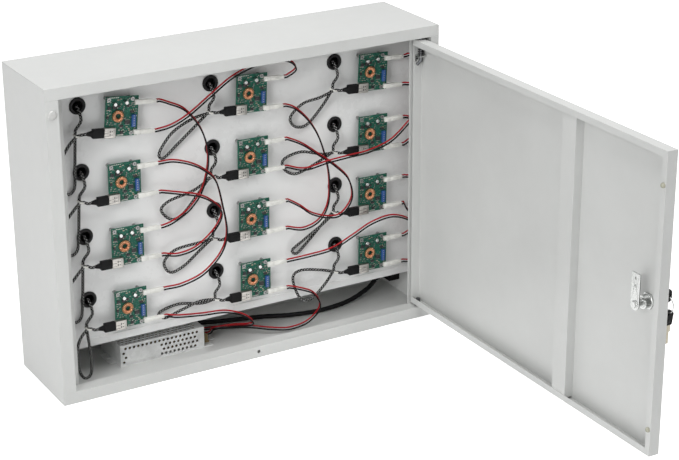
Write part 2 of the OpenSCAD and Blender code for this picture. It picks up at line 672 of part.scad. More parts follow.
// Short ends from the sleeve to the inlet's tabs
sleeve_end = [inlet_back - 22, inlet_y - 6, inlet_z - 6];
tail_z = inlet_z + tab_h / 2 + wire_d / 2 + 0.2;
function tail_route(lift) = [sleeve_end + [1, lift * 1.5 + 0.3, 0.8], sleeve_end + [6, lift * 4, 4],
    [inlet_back - tab_l, inlet_y + lift * tab_pitch, tail_z],
    [inlet_back - 1, inlet_y + lift * tab_pitch, tail_z]];
wire_step = 22;
module wires(lift) {
    for (run = runs) tube(curve(wire_route(run, lift), wire_step), wire_d / 2, 5);
    for (i = [0, 1]) tube(curve(feed_route(i, lift), wire_step), wire_d / 2, 5);
    tube(curve(tail_route(lift), wire_step), wire_d / 2, 5);
}
module red_wires() { color("firebrick") wires(1); }
module black_wires() { color("black") wires(-1); }

// Sleeves: one round the mains wires from supply to inlet
sleeve_d = 7;
sleeve_start = [supply_right + terminal_out + 3, supply_y + 56, terminal_z];
sleeve_low = sheet + sleeve_d / 2 + 0.3;
sleeve_route = [sleeve_start, sleeve_start + [40, -2, -6], [routed_x(60), 40, sleeve_low],
    [routed_x(105), 22, sleeve_low], [routed_x(150), 14, sleeve_low],
    [routed_x(200), 17, sleeve_low + 2], sleeve_end - [20, 8, 8], sleeve_end];
module wire_sleeves() {
    color("black") tube(curve(sleeve_route, 2.5 * sleeve_d), sleeve_d / 2, 8);
}

// Power supply
base_tab = 10;
base_out = 14;
module supply_base() {
    color("silver") difference() {
        union() {
            box([supply_x, supply_y, sheet], [supply_right + base_out, supply_y + supply_d, 2 * sheet]);
            for (end = [0, 1]) translate([end * (supply_l + base_tab + base_out), supply_y + supply_d / 2, 0])
                box([supply_x - base_tab, -supply_d / 4, sheet], [supply_x, supply_d / 4, 2 * sheet]);
            box([supply_right + 1, supply_y + supply_d - sheet, sheet],
                [supply_right + base_out, supply_y + supply_d, supply_h * 0.6]);
        }
        for (end = [0, 1])
            along_z(supply_x - base_tab / 2 + end * (supply_l + base_tab + base_out),
                supply_y + supply_d / 2, 0, 3 * sheet, 4);
    }
    color("silver") for (end = [0, 1])
        along_z(supply_x - base_tab / 2 + end * (supply_l + base_tab + base_out),
            supply_y + supply_d / 2, 2 * sheet, 2 * sheet + 2, 7, 24);
}

vent_pitch = 6.6;
cover_low = 2 * sheet;
cover_top = sheet + supply_h;
module supply_cover() {
    vents_x = floor((supply_l - 8) / vent_pitch);
    vents_y = floor((supply_d - 8) / vent_pitch);
    label_vents = 8;
    color("silver") difference() {
        box([supply_x, supply_y, cover_low], [supply_right, supply_y + supply_d, cover_top]);
        box([supply_x + 1, supply_y + 1, cover_low - 1],
            [supply_right + 1, supply_y + supply_d - 1, cover_top - 1]);
        for (i = [0 : vents_x - 1]) for (j = [0 : 3])
            if (i > label_vents || j == 3 || i == 0)
                along_y(supply_x + 5 + (i + (j % 2) / 2) * vent_pitch, cover_low + 4.6 + j * 7,
                    supply_y - 1, supply_y + 2, vent_d, 16);
        for (i = [0 : vents_x - 1]) for (j = [0 : vents_y - 1])
            along_z(supply_x + 5 + (i + (j % 2) / 2) * vent_pitch, supply_y + 6 + j * vent_pitch,
                cover_top - 2, cover_top + 1, vent_d, 16);
    }
}

// Inside the supply: its board, transformer, capacitors and screw terminals
module supply_circuit() {
    y0 = supply_y + 4;
    color("tan") box([supply_x + 4, y0, cover_low + 3.5],
        [supply_right + 10, y0 + supply_d - 8, cover_low + 5]);
    color("silver") for (x = [supply_x + 10, supply_right - 10]) for (y = [y0 + 5, y0 + supply_d - 13])
        along_z(x, y, cover_low, cover_low + 3.5, 5, 20);
    color("gold") box([supply_x + 50, y0 + 18, cover_low + 5], [supply_x + 78, y0 + 44, cover_top - 4]);
    color("black") for (x = [supply_x + 22, supply_x + 100])
        along_z(x, y0 + 30, cover_low + 5, cover_top - 4, 18, 32);
    color("dimgray") difference() {
        box([supply_right - 3, y0 + 1, cover_low + 5],
            [supply_right + 8, y0 + supply_d - 10, cover_low + 16]);
        for (i = [0 : 6])
            box([supply_right + 2.5, y0 + 3.5 + i * 8, cover_low + 7],
                [supply_right + 9, y0 + 9 + i * 8, cover_low + 17]);
    }
    color("gold") for (i = [0 : 6])
        along_z(supply_right + 5.5, y0 + 6.2 + i * 8, cover_low + 7, cover_low + 10, 4, 16);
}

// Mains inlet in the right side, with its terminals inside the cabinet
inlet_rim = 2.5;
inlet_ear = 10;
inlet_screw_d = 3.2;
module inlet_socket() {
    difference() {
        union() {
            box([inlet_back, inlet_y - inlet_w / 2, inlet_z - inlet_h / 2],
                [half_w, inlet_y + inlet_w / 2, inlet_z + inlet_h / 2]);
            box([half_w, inlet_y - inlet_w / 2 - inlet_ear, inlet_z - inlet_h / 2 - 1.5],
                [half_w + inlet_rim, inlet_y + inlet_w / 2 + inlet_ear,
                    inlet_z + inlet_h / 2 + 1.5]);
        }
        box([inlet_back + 5, inlet_y - inlet_w / 2 + 2, inlet_z - inlet_h / 2 + 2],
            [half_w + inlet_rim + 1, inlet_y + inlet_w / 2 - 2, inlet_z + inlet_h / 2 - 2]);
        for (y = [-1, 1])
            translate([half_w - 1, inlet_y + y * (inlet_w / 2 + 6), inlet_z]) rotate([0, 90, 0])
                cylinder(d = inlet_screw_d, h = inlet_rim + 2, $fn = 24);
    }
}
module mains_inlet() {
    color("black") inlet_socket();
    color("silver") for (y = [-1, 0, 1]) {
        pin_z = inlet_z + (y == 0 ? 3 : -1);
        box([inlet_back + 5, inlet_y + y * tab_pitch - 1, pin_z - 2],
            [inner_x - 2, inlet_y + y * tab_pitch + 1, pin_z + 2]);
        box([inlet_back - tab_l, inlet_y + y * tab_pitch - 0.4, inlet_z - tab_h / 2],
            [inlet_back, inlet_y + y * tab_pitch + 0.4, inlet_z + tab_h / 2]);
    }
}

bumper_d = 12;
bumper_down = 19;
bumper_h = 3.1;
module frame_bumper() {
    r = bumper_d / 2;
    color("white") translate([-half_w + lock_flange_w / 2, service_y, open_top_z - bumper_down])
        rotate([90, 0, 0]) rotate_extrude($fn = 40) polygon([[0, 0], [r, 0], [r, bumper_h / 3],
            [r - 1, 0.7 * bumper_h], [r / 2, bumper_h - 0.2], [0, bumper_h]]);
}

// Service door and what it carries
collar_d = 14;
module service_door() {
    color("gainsboro") hung() difference() {
        union() {
            box([door_free, -door_t / 2, door_low_z], [hinge_reach, skin_in, door_top_z]);
            box([door_free, -door_t / 2, door_top_z - sheet], [hinge_reach, door_t / 2, door_top_z]);
            box([door_free, -door_t / 2, door_low_z], [hinge_reach, door_t / 2, door_low_z + sheet]);
            box([door_free, -door_t / 2, door_low_z], [door_free + sheet, door_t / 2, door_top_z]);
            box([hinge_reach - sheet, -door_t / 2, door_low_z], [hinge_reach, door_t / 2, door_top_z]);
            box([door_free, lip_in, door_top_z - door_lip], [hinge_reach, door_t / 2, door_top_z]);
            box([door_free, lip_in, door_low_z], [hinge_reach, door_t / 2, door_low_z + door_lip]);
            box([door_free, lip_in, door_low_z], [door_free + door_lip, door_t / 2, door_top_z]);
            along_z(0, 0, door_top_z, door_top_z + 1, collar_d);
        }
        along_z(0, 0, door_top_z - 2 * sheet, door_top_z + 2, bolt_d + 2 * fit);
        along_z(0, 0, door_low_z - 1, door_low_z + 2 * sheet, bolt_d + 2 * fit);
        along_y(door_free + lock_inset, lock_z, -door_t / 2 - 1, skin_in + 1, barrel_d);
    }
}

module door_stiffener() {
    w = stiffener_w / 2;
    color("gainsboro") hung() translate([-stiffener_at, 0, 0]) difference() {
        box([-w, skin_in, door_low_z + sheet + 3], [w, lip_in, door_top_z - sheet - 1]);
        box([-w + sheet, skin_in - 1, door_low_z], [w - sheet, lip_in - sheet, door_top_z]);
    }
}

// Spring seat under the hinge bolt: a plate welded to the hinge edge of the door
seat_t = 1.5;
collar_t = 1.5;
spring_top_z = door_top_z - sheet - 0.5 - collar_t;
spring_low_z = spring_top_z - spring_len;
seat_z = spring_low_z - seat_t;
module hinge_bracket() {
    color("silver") hung() difference() {
        union() {
            box([-bolt_d, skin_in, seat_z], [hinge_reach - sheet, bolt_d, seat_z + seat_t]);
            box([hinge_reach - sheet - seat_t, skin_in, seat_z - 9],
                [hinge_reach - sheet, bolt_d, seat_z + seat_t]);
        }
        along_z(0, 0, seat_z - 1, seat_z + seat_t + 1, bolt_d + 2 * fit);
    }
}
bolt_top_z = open_top_z + 7.5;
tail_drop = bolt_travel + 4;
module hinge_bolt() {
    color("dimgray") hung() union() {
        along_z(0, 0, seat_z - 6, bolt_top_z, bolt_d);
        along_z(0, 0, spring_top_z, spring_top_z + collar_t, spring_coil_d + 1);
        translate([0, 0, seat_z - 6]) sphere(d = bolt_d, $fn = 32);
        translate([0, 0, seat_z - 6]) rotate([50, 0, 0]) translate([0, 0, -9])
            cylinder(d = bolt_d - 1.4, h = 9, $fn = 24);
    }
}
spring_coil_d = 8.8;
spring_turns = 5;
// How far the spring stands clear of the bolt
spring_play = 0.2;
spring_lead = spring_wire * 1.2;
// Helix with a straight end at each side, up the middle of the wire
function spring_path() = let (r = spring_coil_d / 2 - spring_wire / 2 + spring_play,
    n = spring_sides * spring_turns, rise = spring_len - 2 * spring_lead, a = 360 / spring_sides)
    concat([[r, 0, 0]], [for (i = [0 : n])
        [r * cos(a * i), r * sin(a * i), spring_lead + rise * i / n]], [[r, 0, spring_len]]);
// Least gap between one turn of the spring and the others, measured on the path's points:
// points more than half a turn apart belong to different turns
spring_sides = 8;
function spring_gap(p) = min([for (i = [0 : len(p) - 1])
    for (j = [i + spring_sides / 2 + 1 : 1 : len(p) - 1]) norm(p[i] - p[j])]) - spring_wire;
echo(least_spring_gap = spring_gap(spring_path()));
module hinge_spring() {
    color("black") hung() translate([0, 0, spring_low_z]) tube(spring_path(), spring_wire / 2, 6);
}

buffer_h = 3.8;
module door_buffers() {
    color("khaki") hung() for (z = [door_low_z + 37, door_top_z - 44])
        translate([door_free + door_lip / 2, door_t / 2, z]) rotate([-90, 0, 0])
            rotate_extrude($fn = 32) polygon([[0, 0], [buffer_d / 2, 0], [buffer_d / 2, 1.2],
                [buffer_d / 2 - 0.8, 2.8], [buffer_d / 2 - 2, buffer_h], [0, buffer_h]]);
}

// Service lock: barrel and nut in the door, plug and cam that turn in it
key_t = 2;
key_blade_l = 26;
key_shoulder_l = 10;
key_shoulder_w = 12;
key_blade_w = 7.6;
// How far the head of the key stands off the lock's face
key_head_out = 12;
key_head_y = -door_t / 2 - barrel_face - key_head_out;
keyway_w = key_t + 2 * fit;
keyway_h = key_blade_w + 2 * fit;
lock_x = door_free + lock_inset;
barrel_in = 11.5;
nut_d = 23;
cam_y = flange_return - door_t / 2 + 1;
cam_w = 16;
cam_nut_t = 3;
cam_nut_d = 10;
cam_hub_d = 9;
nut_t = 3;
module lock_barrel() {
    color("silver") hung() difference() {
        union() {
            along_y(lock_x, lock_z, -door_t / 2, skin_in + barrel_in, barrel_d);
            along_y(lock_x, lock_z, -door_t / 2 - barrel_face, -door_t / 2, barrel_d + 4);
            along_y(lock_x, lock_z, skin_in, skin_in + nut_t, nut_d, 6);
        }
        along_y(lock_x, lock_z, -door_t, door_t * 2, plug_d + 2 * fit);
    }
}
module lock_cam() {
    hub = skin_in + barrel_in + clear;
    color("silver") hung() translate([lock_x, 0, lock_z]) difference() {
        union() {
            along_y(0, 0, -door_t / 2 - barrel_face, hub, plug_d);
            along_y(0, 0, hub, cam_y + cam_t + cam_nut_t, cam_screw_d);
            along_y(0, 0, cam_y + cam_t, cam_y + cam_t + cam_nut_t, cam_nut_d, 6);
            along_y(0, 0, cam_y, cam_y + cam_t, cam_w);
            box([-cam_w / 2, cam_y, 0], [cam_w / 2, cam_y + cam_t, cam_len]);
            along_y(0, 0, hub, cam_y, cam_hub_d);
        }
        for (z = [cam_len - 7, cam_len - 17]) along_y(0, z, cam_y - 1, cam_y + cam_t + 1, 4, 20);
        box([-keyway_w / 2, -door_t, -keyway_h / 2],
            [keyway_w / 2, key_head_y + key_blade_l, keyway_h / 2]);
    }
}

// A key, its blade along +y and its head behind it: the head's hole is near its end
key_head_t = 4.4;
key_head_l = 20;
key_hole_d = 5;
key_hole_y = -15.5;
module key() {
    color("silver") union() {
        box([-key_t / 2, 0, -key_blade_w / 2], [key_t / 2, key_blade_l, key_blade_w / 2]);
        box([-key_t / 2, 0, -key_shoulder_w / 2],
            [key_t / 2, key_shoulder_l, key_shoulder_w / 2]);
    }
    color("black") difference() {
        hull() {
            for (z = [-1, 1]) translate([-key_head_t / 2, -key_head_l + 6, z * 3])
                rotate([0, 90, 0]) cylinder(d = 12, h = key_head_t, $fn = 32);
            box([-key_head_t / 2, -2, -7], [key_head_t / 2, 0, 7]);
        }
        translate([-key_head_t, key_hole_y, 0]) rotate([0, 90, 0])
            cylinder(d = key_hole_d, h = 2 * key_head_t, $fn = 24);
    }
}
module door_key() {
    hung() translate([lock_x, key_head_y, lock_z]) key();
}
// The ring hangs in the hole of the key's head, and the spare key hangs in the ring
ring_wire = 1.6;
// The ring curves inside the hole, so it hangs this far clear of the hole's edge
ring_play = 0.45;
ring_y = key_head_y + key_hole_y;
ring_z = lock_z - key_hole_d / 2 - ring_d / 2 + ring_wire + ring_play;
spare_z = ring_z - ring_d / 2 + ring_wire - 0.03 - key_hole_d / 2;
module spare_key_ring() {
    hung() translate([lock_x, ring_y, 0]) {
        color("silver") translate([0, 0, ring_z]) rotate([90, 0, 0])
            rotate_extrude($fn = 48) translate([ring_d / 2 - ring_wire / 2, 0])
                circle(d = ring_wire, $fn = 16);
        translate([0, 0, spare_z]) rotate([-90, 0, 0]) translate([0, -key_hole_y, 0]) key();
    }
}

module bay_door_01() { bay_door(0, 0); }
module bay_door_02() { bay_door(0, 1); }
module bay_door_03() { bay_door(0, 2); }
module bay_door_04() { bay_door(1, 0); }
module bay_door_05() { bay_door(1, 1); }
module bay_door_06() { bay_door(1, 2); }
module bay_door_07() { bay_door(2, 0); }
module bay_door_08() { bay_door(2, 1); }
module bay_door_09() { bay_door(2, 2); }
module bay_door_10() { bay_door(3, 0); }
module bay_door_11() { bay_door(3, 1); }
module bay_door_12() { bay_door(3, 2); }
module bay_lock_01() { bay_lock(0, 0); }
module bay_lock_02() { bay_lock(0, 1); }
module bay_lock_03() { bay_lock(0, 2); }
module bay_lock_04() { bay_lock(1, 0); }
module bay_lock_05() { bay_lock(1, 1); }
module bay_lock_06() { bay_lock(1, 2); }
module bay_lock_07() { bay_lock(2, 0); }
module bay_lock_08() { bay_lock(2, 1); }
module bay_lock_09() { bay_lock(2, 2); }
module bay_lock_10() { bay_lock(3, 0); }
module bay_lock_11() { bay_lock(3, 1); }
module bay_lock_12() { bay_lock(3, 2); }

top_panel();
bottom_panel();
left_side_panel();
right_side_panel();
bay_shelves();
bay_dividers();
hinge_pins();
mounting_panel();
cable_grommets();
board_standoffs();
charger_boards();
board_components();
power_connectors();
usb_sockets();
usb_plugs();
usb_leads();
phone_plugs();
cable_ties();
red_wires();
black_wires();
wire_sleeves();
supply_base();
supply_cover();
supply_circuit();
mains_inlet();
frame_bumper();
service_door();
door_stiffener();
hinge_bracket();
door_buffers();
lock_barrel();
hinge_bolt();
hinge_spring();
lock_cam();
door_key();
spare_key_ring();
bay_door_01();
bay_door_02();
bay_door_03();
bay_door_04();
bay_door_05();
bay_door_06();
bay_door_07();
bay_door_08();
bay_door_09();
bay_door_10();
bay_door_11();
bay_door_12();
bay_lock_01();
bay_lock_02();
bay_lock_03();
bay_lock_04();
bay_lock_05();
bay_lock_06();
bay_lock_07();
bay_lock_08();
bay_lock_09();
bay_lock_10();
bay_lock_11();
bay_lock_12();
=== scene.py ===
import math
import random
import bpy
import bmesh
from mathutils import Matrix, Vector


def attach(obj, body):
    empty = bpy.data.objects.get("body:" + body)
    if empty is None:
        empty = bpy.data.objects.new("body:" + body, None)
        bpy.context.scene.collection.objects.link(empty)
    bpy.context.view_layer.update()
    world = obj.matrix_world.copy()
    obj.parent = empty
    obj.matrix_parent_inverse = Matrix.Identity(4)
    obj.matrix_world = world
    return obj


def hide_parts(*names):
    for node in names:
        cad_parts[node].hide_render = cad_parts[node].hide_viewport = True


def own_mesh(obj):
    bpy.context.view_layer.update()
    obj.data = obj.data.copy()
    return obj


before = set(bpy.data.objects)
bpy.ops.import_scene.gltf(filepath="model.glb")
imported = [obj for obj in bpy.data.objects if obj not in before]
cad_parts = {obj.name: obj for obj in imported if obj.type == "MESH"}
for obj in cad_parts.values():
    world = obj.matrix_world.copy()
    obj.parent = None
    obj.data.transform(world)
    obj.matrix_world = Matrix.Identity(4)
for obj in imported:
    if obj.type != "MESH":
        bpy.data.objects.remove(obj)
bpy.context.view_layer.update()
MM = 0.001
scene = bpy.context.scene


# Camera: the photo's view, from a fit of the cabinet's and the door's edges
CAM_PLACE = (-1.1213, -2.2367, 1.1656)
CAM_AZIMUTH, CAM_ELEVATION, CAM_ROLL = -30.153, 21.728, -0.298
CAM_LENS = 99.33


def rotation(azimuth, elevation, roll):
    a, e, r = (math.radians(v) for v in (azimuth, elevation, roll))
    back = Vector((math.sin(a) * math.cos(e), -math.cos(a) * math.cos(e), math.sin(e)))
    right = (-back).cross(Vector((0, 0, 1))).normalized()
    up = right.cross(-back)
    x = right * math.cos(r) + up * math.sin(r)
    y = -right * math.sin(r) + up * math.cos(r)
    return Matrix((x, y, back)).transposed()


cam_data = bpy.data.cameras.new("camera")
cam_data.sensor_width = 36.0
cam_data.lens = CAM_LENS
cam_data.clip_start = 0.05
camera = bpy.data.objects.new("camera", cam_data)
scene.collection.objects.link(camera)
camera.matrix_world = (Matrix.Translation(CAM_PLACE)
                       @ rotation(CAM_AZIMUTH, CAM_ELEVATION, CAM_ROLL).to_4x4())
scene.camera = camera
scene.view_settings.view_transform = "Standard"


# Materials
def new_material(name):
    m = bpy.data.materials.new(name)
    m.use_nodes = True
    nt = m.node_tree
    nt.nodes.clear()
    out = nt.nodes.new("ShaderNodeOutputMaterial")
    return m, nt, out


class Graph:
    """Short calls for the nodes that the materials are made of."""

    def __init__(self, nt, scale=(1, 1, 1), coord="Object"):
        self.nt = nt
        tc = nt.nodes.new("ShaderNodeTexCoord")
        mp = nt.nodes.new("ShaderNodeMapping")
        mp.inputs["Scale"].default_value = scale
        nt.links.new(tc.outputs[coord], mp.inputs["Vector"])
        self.co = mp.outputs["Vector"]
        self.tc = tc

    def link(self, a, b):
        self.nt.links.new(a, b)

    def noise(self, scale, detail=4.0, rough=0.55, co=None):
        n = self.nt.nodes.new("ShaderNodeTexNoise")
        n.inputs["Scale"].default_value = scale
        n.inputs["Detail"].default_value = detail
        n.inputs["Roughness"].default_value = rough
        self.link(co or self.co, n.inputs["Vector"])
        return n.outputs["Fac"]

    def voronoi(self, scale, feature="F1", out="Distance"):
        n = self.nt.nodes.new("ShaderNodeTexVoronoi")
        n.feature = feature
        n.inputs["Scale"].default_value = scale
        self.link(self.co, n.inputs["Vector"])
        return n.outputs[out]

    def wave(self, scale, distortion, direction):
        n = self.nt.nodes.new("ShaderNodeTexWave")
        n.bands_direction = direction
        n.inputs["Scale"].default_value = scale
        n.inputs["Distortion"].default_value = distortion
        self.link(self.co, n.inputs["Vector"])
        return n.outputs["Fac"]

    def stretched(self, scale):
        mp = self.nt.nodes.new("ShaderNodeMapping")
        mp.inputs["Scale"].default_value = scale
        self.link(self.tc.outputs["Object"], mp.inputs["Vector"])
        return mp.outputs["Vector"]

    def ramp(self, fac, stops):
        n = self.nt.nodes.new("ShaderNodeValToRGB")
        e = n.color_ramp.elements
        while len(e) < len(stops):
            e.new(0.5)
        for el, (p, c) in zip(e, stops):
            el.position = p
            el.color = (c, c, c, 1) if isinstance(c, (int, float)) else (*c, 1)
        self.link(fac, n.inputs["Fac"])
        return n.outputs["Color"]

    def span(self, fac, lo, hi, to_lo, to_hi):
        n = self.nt.nodes.new("ShaderNodeMapRange")
        n.inputs["From Min"].default_value = lo
        n.inputs["From Max"].default_value = hi
        n.inputs["To Min"].default_value = to_lo
        n.inputs["To Max"].default_value = to_hi
        self.link(fac, n.inputs["Value"])
        return n.outputs["Result"]

    def mix(self, fac, a, b):
        n = self.nt.nodes.new("ShaderNodeMix")
        n.data_type = "RGBA"
        for sock, v in ((n.inputs["Factor"], fac), (n.inputs["A"], a), (n.inputs["B"], b)):
            if isinstance(v, (int, float)):
                sock.default_value = v
            elif isinstance(v, tuple):
                sock.default_value = (*v, 1)
            else:
                self.link(v, sock)
        return n.outputs["Result"]

    def math(self, op, a, b=0.0):
        n = self.nt.nodes.new("ShaderNodeMath")
        n.operation = op
        for sock, v in ((n.inputs[0], a), (n.inputs[1], b)):
            if isinstance(v, (int, float)):
                sock.default_value = v
            else:
                self.link(v, sock)
        return n.outputs["Value"]

    def bump(self, height, strength, distance=0.0004, base=None):
        n = self.nt.nodes.new("ShaderNodeBump")
        n.inputs["Strength"].default_value = strength
        n.inputs["Distance"].default_value = distance
        self.link(height, n.inputs["Height"])
        if base:
            self.link(base, n.inputs["Normal"])
        return n.outputs["Normal"]

    def shade(self, out, color, rough, metallic=0.0, normal=None, **extra):
        b = self.nt.nodes.new("ShaderNodeBsdfPrincipled")
        for name, v in (("Base Color", color), ("Roughness", rough), ("Metallic", metallic)):
            if isinstance(v, tuple):
                b.inputs[name].default_value = (*v, 1)
            elif isinstance(v, (int, float)):
                b.inputs[name].default_value = v
            else:
                self.link(v, b.inputs[name])
        for name, v in extra.items():
            b.inputs[name.replace("_", " ")].default_value = v
        if normal:
            self.link(normal, b.inputs["Normal"])
        self.link(b.outputs["BSDF"], out.inputs["Surface"])


def edge_light(g, radius):
    """Nearly 1 on sharp edges, 0 on flat faces."""
    bev = g.nt.nodes.new("ShaderNodeBevel")
    bev.samples = 4
    bev.inputs["Radius"].default_value = radius
    geo = g.nt.nodes.new("ShaderNodeNewGeometry")
    dot = g.nt.nodes.new("ShaderNodeVectorMath")
    dot.operation = "DOT_PRODUCT"
    g.link(bev.outputs["Normal"], dot.inputs[0])
    g.link(geo.outputs["Normal"], dot.inputs[1])
    return g.span(dot.outputs["Value"], 0.80, 0.99, 1.0, 0.0)


def scaled(color, k):
    return tuple(min(1.0, c * k) for c in color)


def painted(name, base, rough=0.36):
    """Powder coat: faint clouds, specks, worn edges and painted shade in corners."""
    m, nt, out = new_material(name)
    g = Graph(nt)
    cloud = g.noise(5.0, 5.0, 0.6)
    fine = g.noise(70.0, 3.0)
    col = g.mix(g.span(cloud, 0.3, 0.7, 0.0, 1.0), scaled(base, 0.93), scaled(base, 1.03))
    specks = g.ramp(g.noise(420.0, 2.0), [(0.72, 0.0), (0.80, 1.0)])
    col = g.mix(g.math("MULTIPLY", specks, 0.12), col, scaled(base, 0.45))
    wear = g.math("MULTIPLY", edge_light(g, 0.0007), g.span(fine, 0.45, 0.75, 0.0, 0.5))
    col = g.mix(wear, col, (0.86, 0.87, 0.86))
    # painted shade: the colour goes darker in corners, creases and between parts, from ambient
    # occlusion
    ao = nt.nodes.new("ShaderNodeAmbientOcclusion")
    ao.samples = 6
    ao.inputs["Distance"].default_value = 0.03
    col = g.mix(g.span(ao.outputs["AO"], 0.2, 0.9, 0.14, 0.0), col, scaled(base, 0.5))
    r = g.math("ADD", g.span(cloud, 0.3, 0.7, rough - 0.06, rough + 0.06),
               g.span(fine, 0.3, 0.7, -0.03, 0.03))
    n = g.bump(g.noise(8.0, 3.0), 0.25, 0.0009)
    n = g.bump(g.noise(1100.0, 2.0), 0.10, 0.0001, n)
    g.shade(out, col, r, 0.0, n, Specular_IOR_Level=0.38)
    return m


def metal(name, base, rough=0.3, brushed=(30, 600, 600), spangle=0.0, metallic=1.0):
    """Brushed metal, with the crystals of a zinc coat where spangle is above 0."""
    m, nt, out = new_material(name)
    g = Graph(nt)
    grain = g.noise(1.0, 3.0, 0.6, g.stretched(brushed))
    cloud = g.noise(60.0, 4.0)
    col = g.mix(g.span(cloud, 0.3, 0.7, 0.0, 1.0), scaled(base, 0.82), base)
    if spangle:
        cell = g.voronoi(160.0, "F1", "Color")
        bw = nt.nodes.new("ShaderNodeRGBToBW")
        g.link(cell, bw.inputs["Color"])
        col = g.mix(spangle, col, g.mix(bw.outputs["Val"], scaled(base, 0.7), scaled(base, 1.2)))
    col = g.mix(g.math("MULTIPLY", edge_light(g, 0.0004), 0.5), col, scaled(base, 1.35))
    r = g.math("ADD", g.span(grain, 0.3, 0.7, rough - 0.08, rough + 0.08),
               g.span(cloud, 0.3, 0.7, -0.04, 0.06))
    n = g.bump(grain, 0.12, 0.0001)
    n = g.bump(cloud, 0.08, 0.0003, n)
    g.shade(out, col, r, metallic, n)
    return m


def plastic(name, base, rough=0.45, grain=900.0, bump=0.12, spec=0.5, transmission=0.0):
    """Moulded plastic or rubber, with a fine grain and lighter worn edges."""
    m, nt, out = new_material(name)
    g = Graph(nt)
    cloud = g.noise(90.0, 4.0)
    fine = g.noise(grain, 3.0)
    col = g.mix(g.span(cloud, 0.3, 0.7, 0.0, 1.0), scaled(base, 0.85),
                tuple(min(1.0, c * 1.08 + 0.002) for c in base))
    wear = g.math("MULTIPLY", edge_light(g, 0.0004), g.span(fine, 0.4, 0.7, 0.0, 0.25))
    col = g.mix(wear, col, tuple(min(1.0, c * 1.6 + 0.05) for c in base))
    r = g.math("ADD", g.span(fine, 0.3, 0.7, rough - 0.07, rough + 0.07),
               g.span(cloud, 0.3, 0.7, -0.05, 0.05))
    n = g.bump(fine, bump, 0.00015)
    g.shade(out, col, r, 0.0, n, Specular_IOR_Level=spec, Transmission_Weight=transmission)
    return m


def braid(name):
    """Black and white braid: u runs along the lead in metres, v once round it."""
    per_metre, round_it, light_share = 225.0, 3.0, 0.17
    m, nt, out = new_material(name)
    g = Graph(nt, (1, 1, 1), "UV")
    sep = nt.nodes.new("ShaderNodeSeparateXYZ")
    g.link(g.co, sep.inputs["Vector"])
    u = g.math("MULTIPLY", sep.outputs["X"], per_metre)
    v = g.math("MULTIPLY", sep.outputs["Y"], round_it)
    a = g.math("FRACT", g.math("ADD", u, v))
    b = g.math("FRACT", g.math("SUBTRACT", u, v))
    strand_a = g.math("LESS_THAN", a, light_share)
    strand_b = g.math("LESS_THAN", b, light_share)
    over = g.math("GREATER_THAN", g.math("ABSOLUTE", g.math("SUBTRACT", a, b)), 0.42)
    light = g.math("MAXIMUM", g.math("MULTIPLY", strand_a, over),
                   g.math("MULTIPLY", strand_b, g.math("SUBTRACT", 1.0, over)))
    tone = g.noise(300.0, 3.0, 0.6, g.tc.outputs["Object"])
    dark = g.mix(g.span(tone, 0.3, 0.7, 0.0, 1.0), (0.003, 0.003, 0.0032), (0.010, 0.010, 0.011))
    col = g.mix(light, dark, g.mix(tone, (0.50, 0.50, 0.49), (0.66, 0.66, 0.64)))
    height = g.math("ADD", g.math("SINE", g.math("MULTIPLY", a, math.tau)),
                    g.math("SINE", g.math("MULTIPLY", b, math.tau)))
    n = g.bump(height, 0.5, 0.0002)
    n = g.bump(g.noise(2500.0, 2.0, 0.5, g.tc.outputs["Object"]), 0.2, 0.0001, n)
    g.shade(out, col, g.span(tone, 0.3, 0.7, 0.7, 0.9), 0.0, n, Specular_IOR_Level=0.08)
    return m


def board_material(name):
    """Green solder mask over tracks, with bright vias and pads."""
    m, nt, out = new_material(name)
    g = Graph(nt)
    tracks = g.voronoi(230.0, "DISTANCE_TO_EDGE")
    line = g.ramp(tracks, [(0.04, 1.0), (0.09, 0.0)])
    bands = g.ramp(g.wave(170.0, 1.6, "Z"), [(0.80, 0.0), (0.90, 1.0)])
    vias = g.ramp(g.voronoi(620.0), [(0.10, 1.0), (0.16, 0.0)])
    cloud = g.noise(120.0, 3.0)
    col = g.mix(cloud, (0.002, 0.046, 0.029), (0.004, 0.082, 0.052))
    col = g.mix(g.math("MULTIPLY", line, 0.6), col, (0.012, 0.15, 0.095))
    col = g.mix(g.math("MULTIPLY", bands, 0.5), col, (0.008, 0.12, 0.078))
    col = g.mix(g.math("MULTIPLY", vias, 0.7), col, (0.62, 0.60, 0.55))
    col = g.mix(g.math("MULTIPLY", edge_light(g, 0.0003), 0.4), col, (0.28, 0.33, 0.20))
    n = g.bump(g.math("ADD", line, bands), 0.35, 0.0001)
    g.shade(out, col, g.span(cloud, 0.3, 0.7, 0.38, 0.55), 0.0, n, Specular_IOR_Level=0.3)
    return m


def copper(name):
    m, nt, out = new_material(name)
    g = Graph(nt)
    c = g.noise(500.0, 3.0)
    col = g.mix(g.span(c, 0.3, 0.7, 0.0, 1.0), (0.58, 0.21, 0.10), (0.92, 0.46, 0.26))
    n = g.bump(c, 0.2, 0.0001)
    g.shade(out, col, g.span(c, 0.3, 0.7, 0.22, 0.40), 0.65, n, Coat_Weight=0.4)
    return m


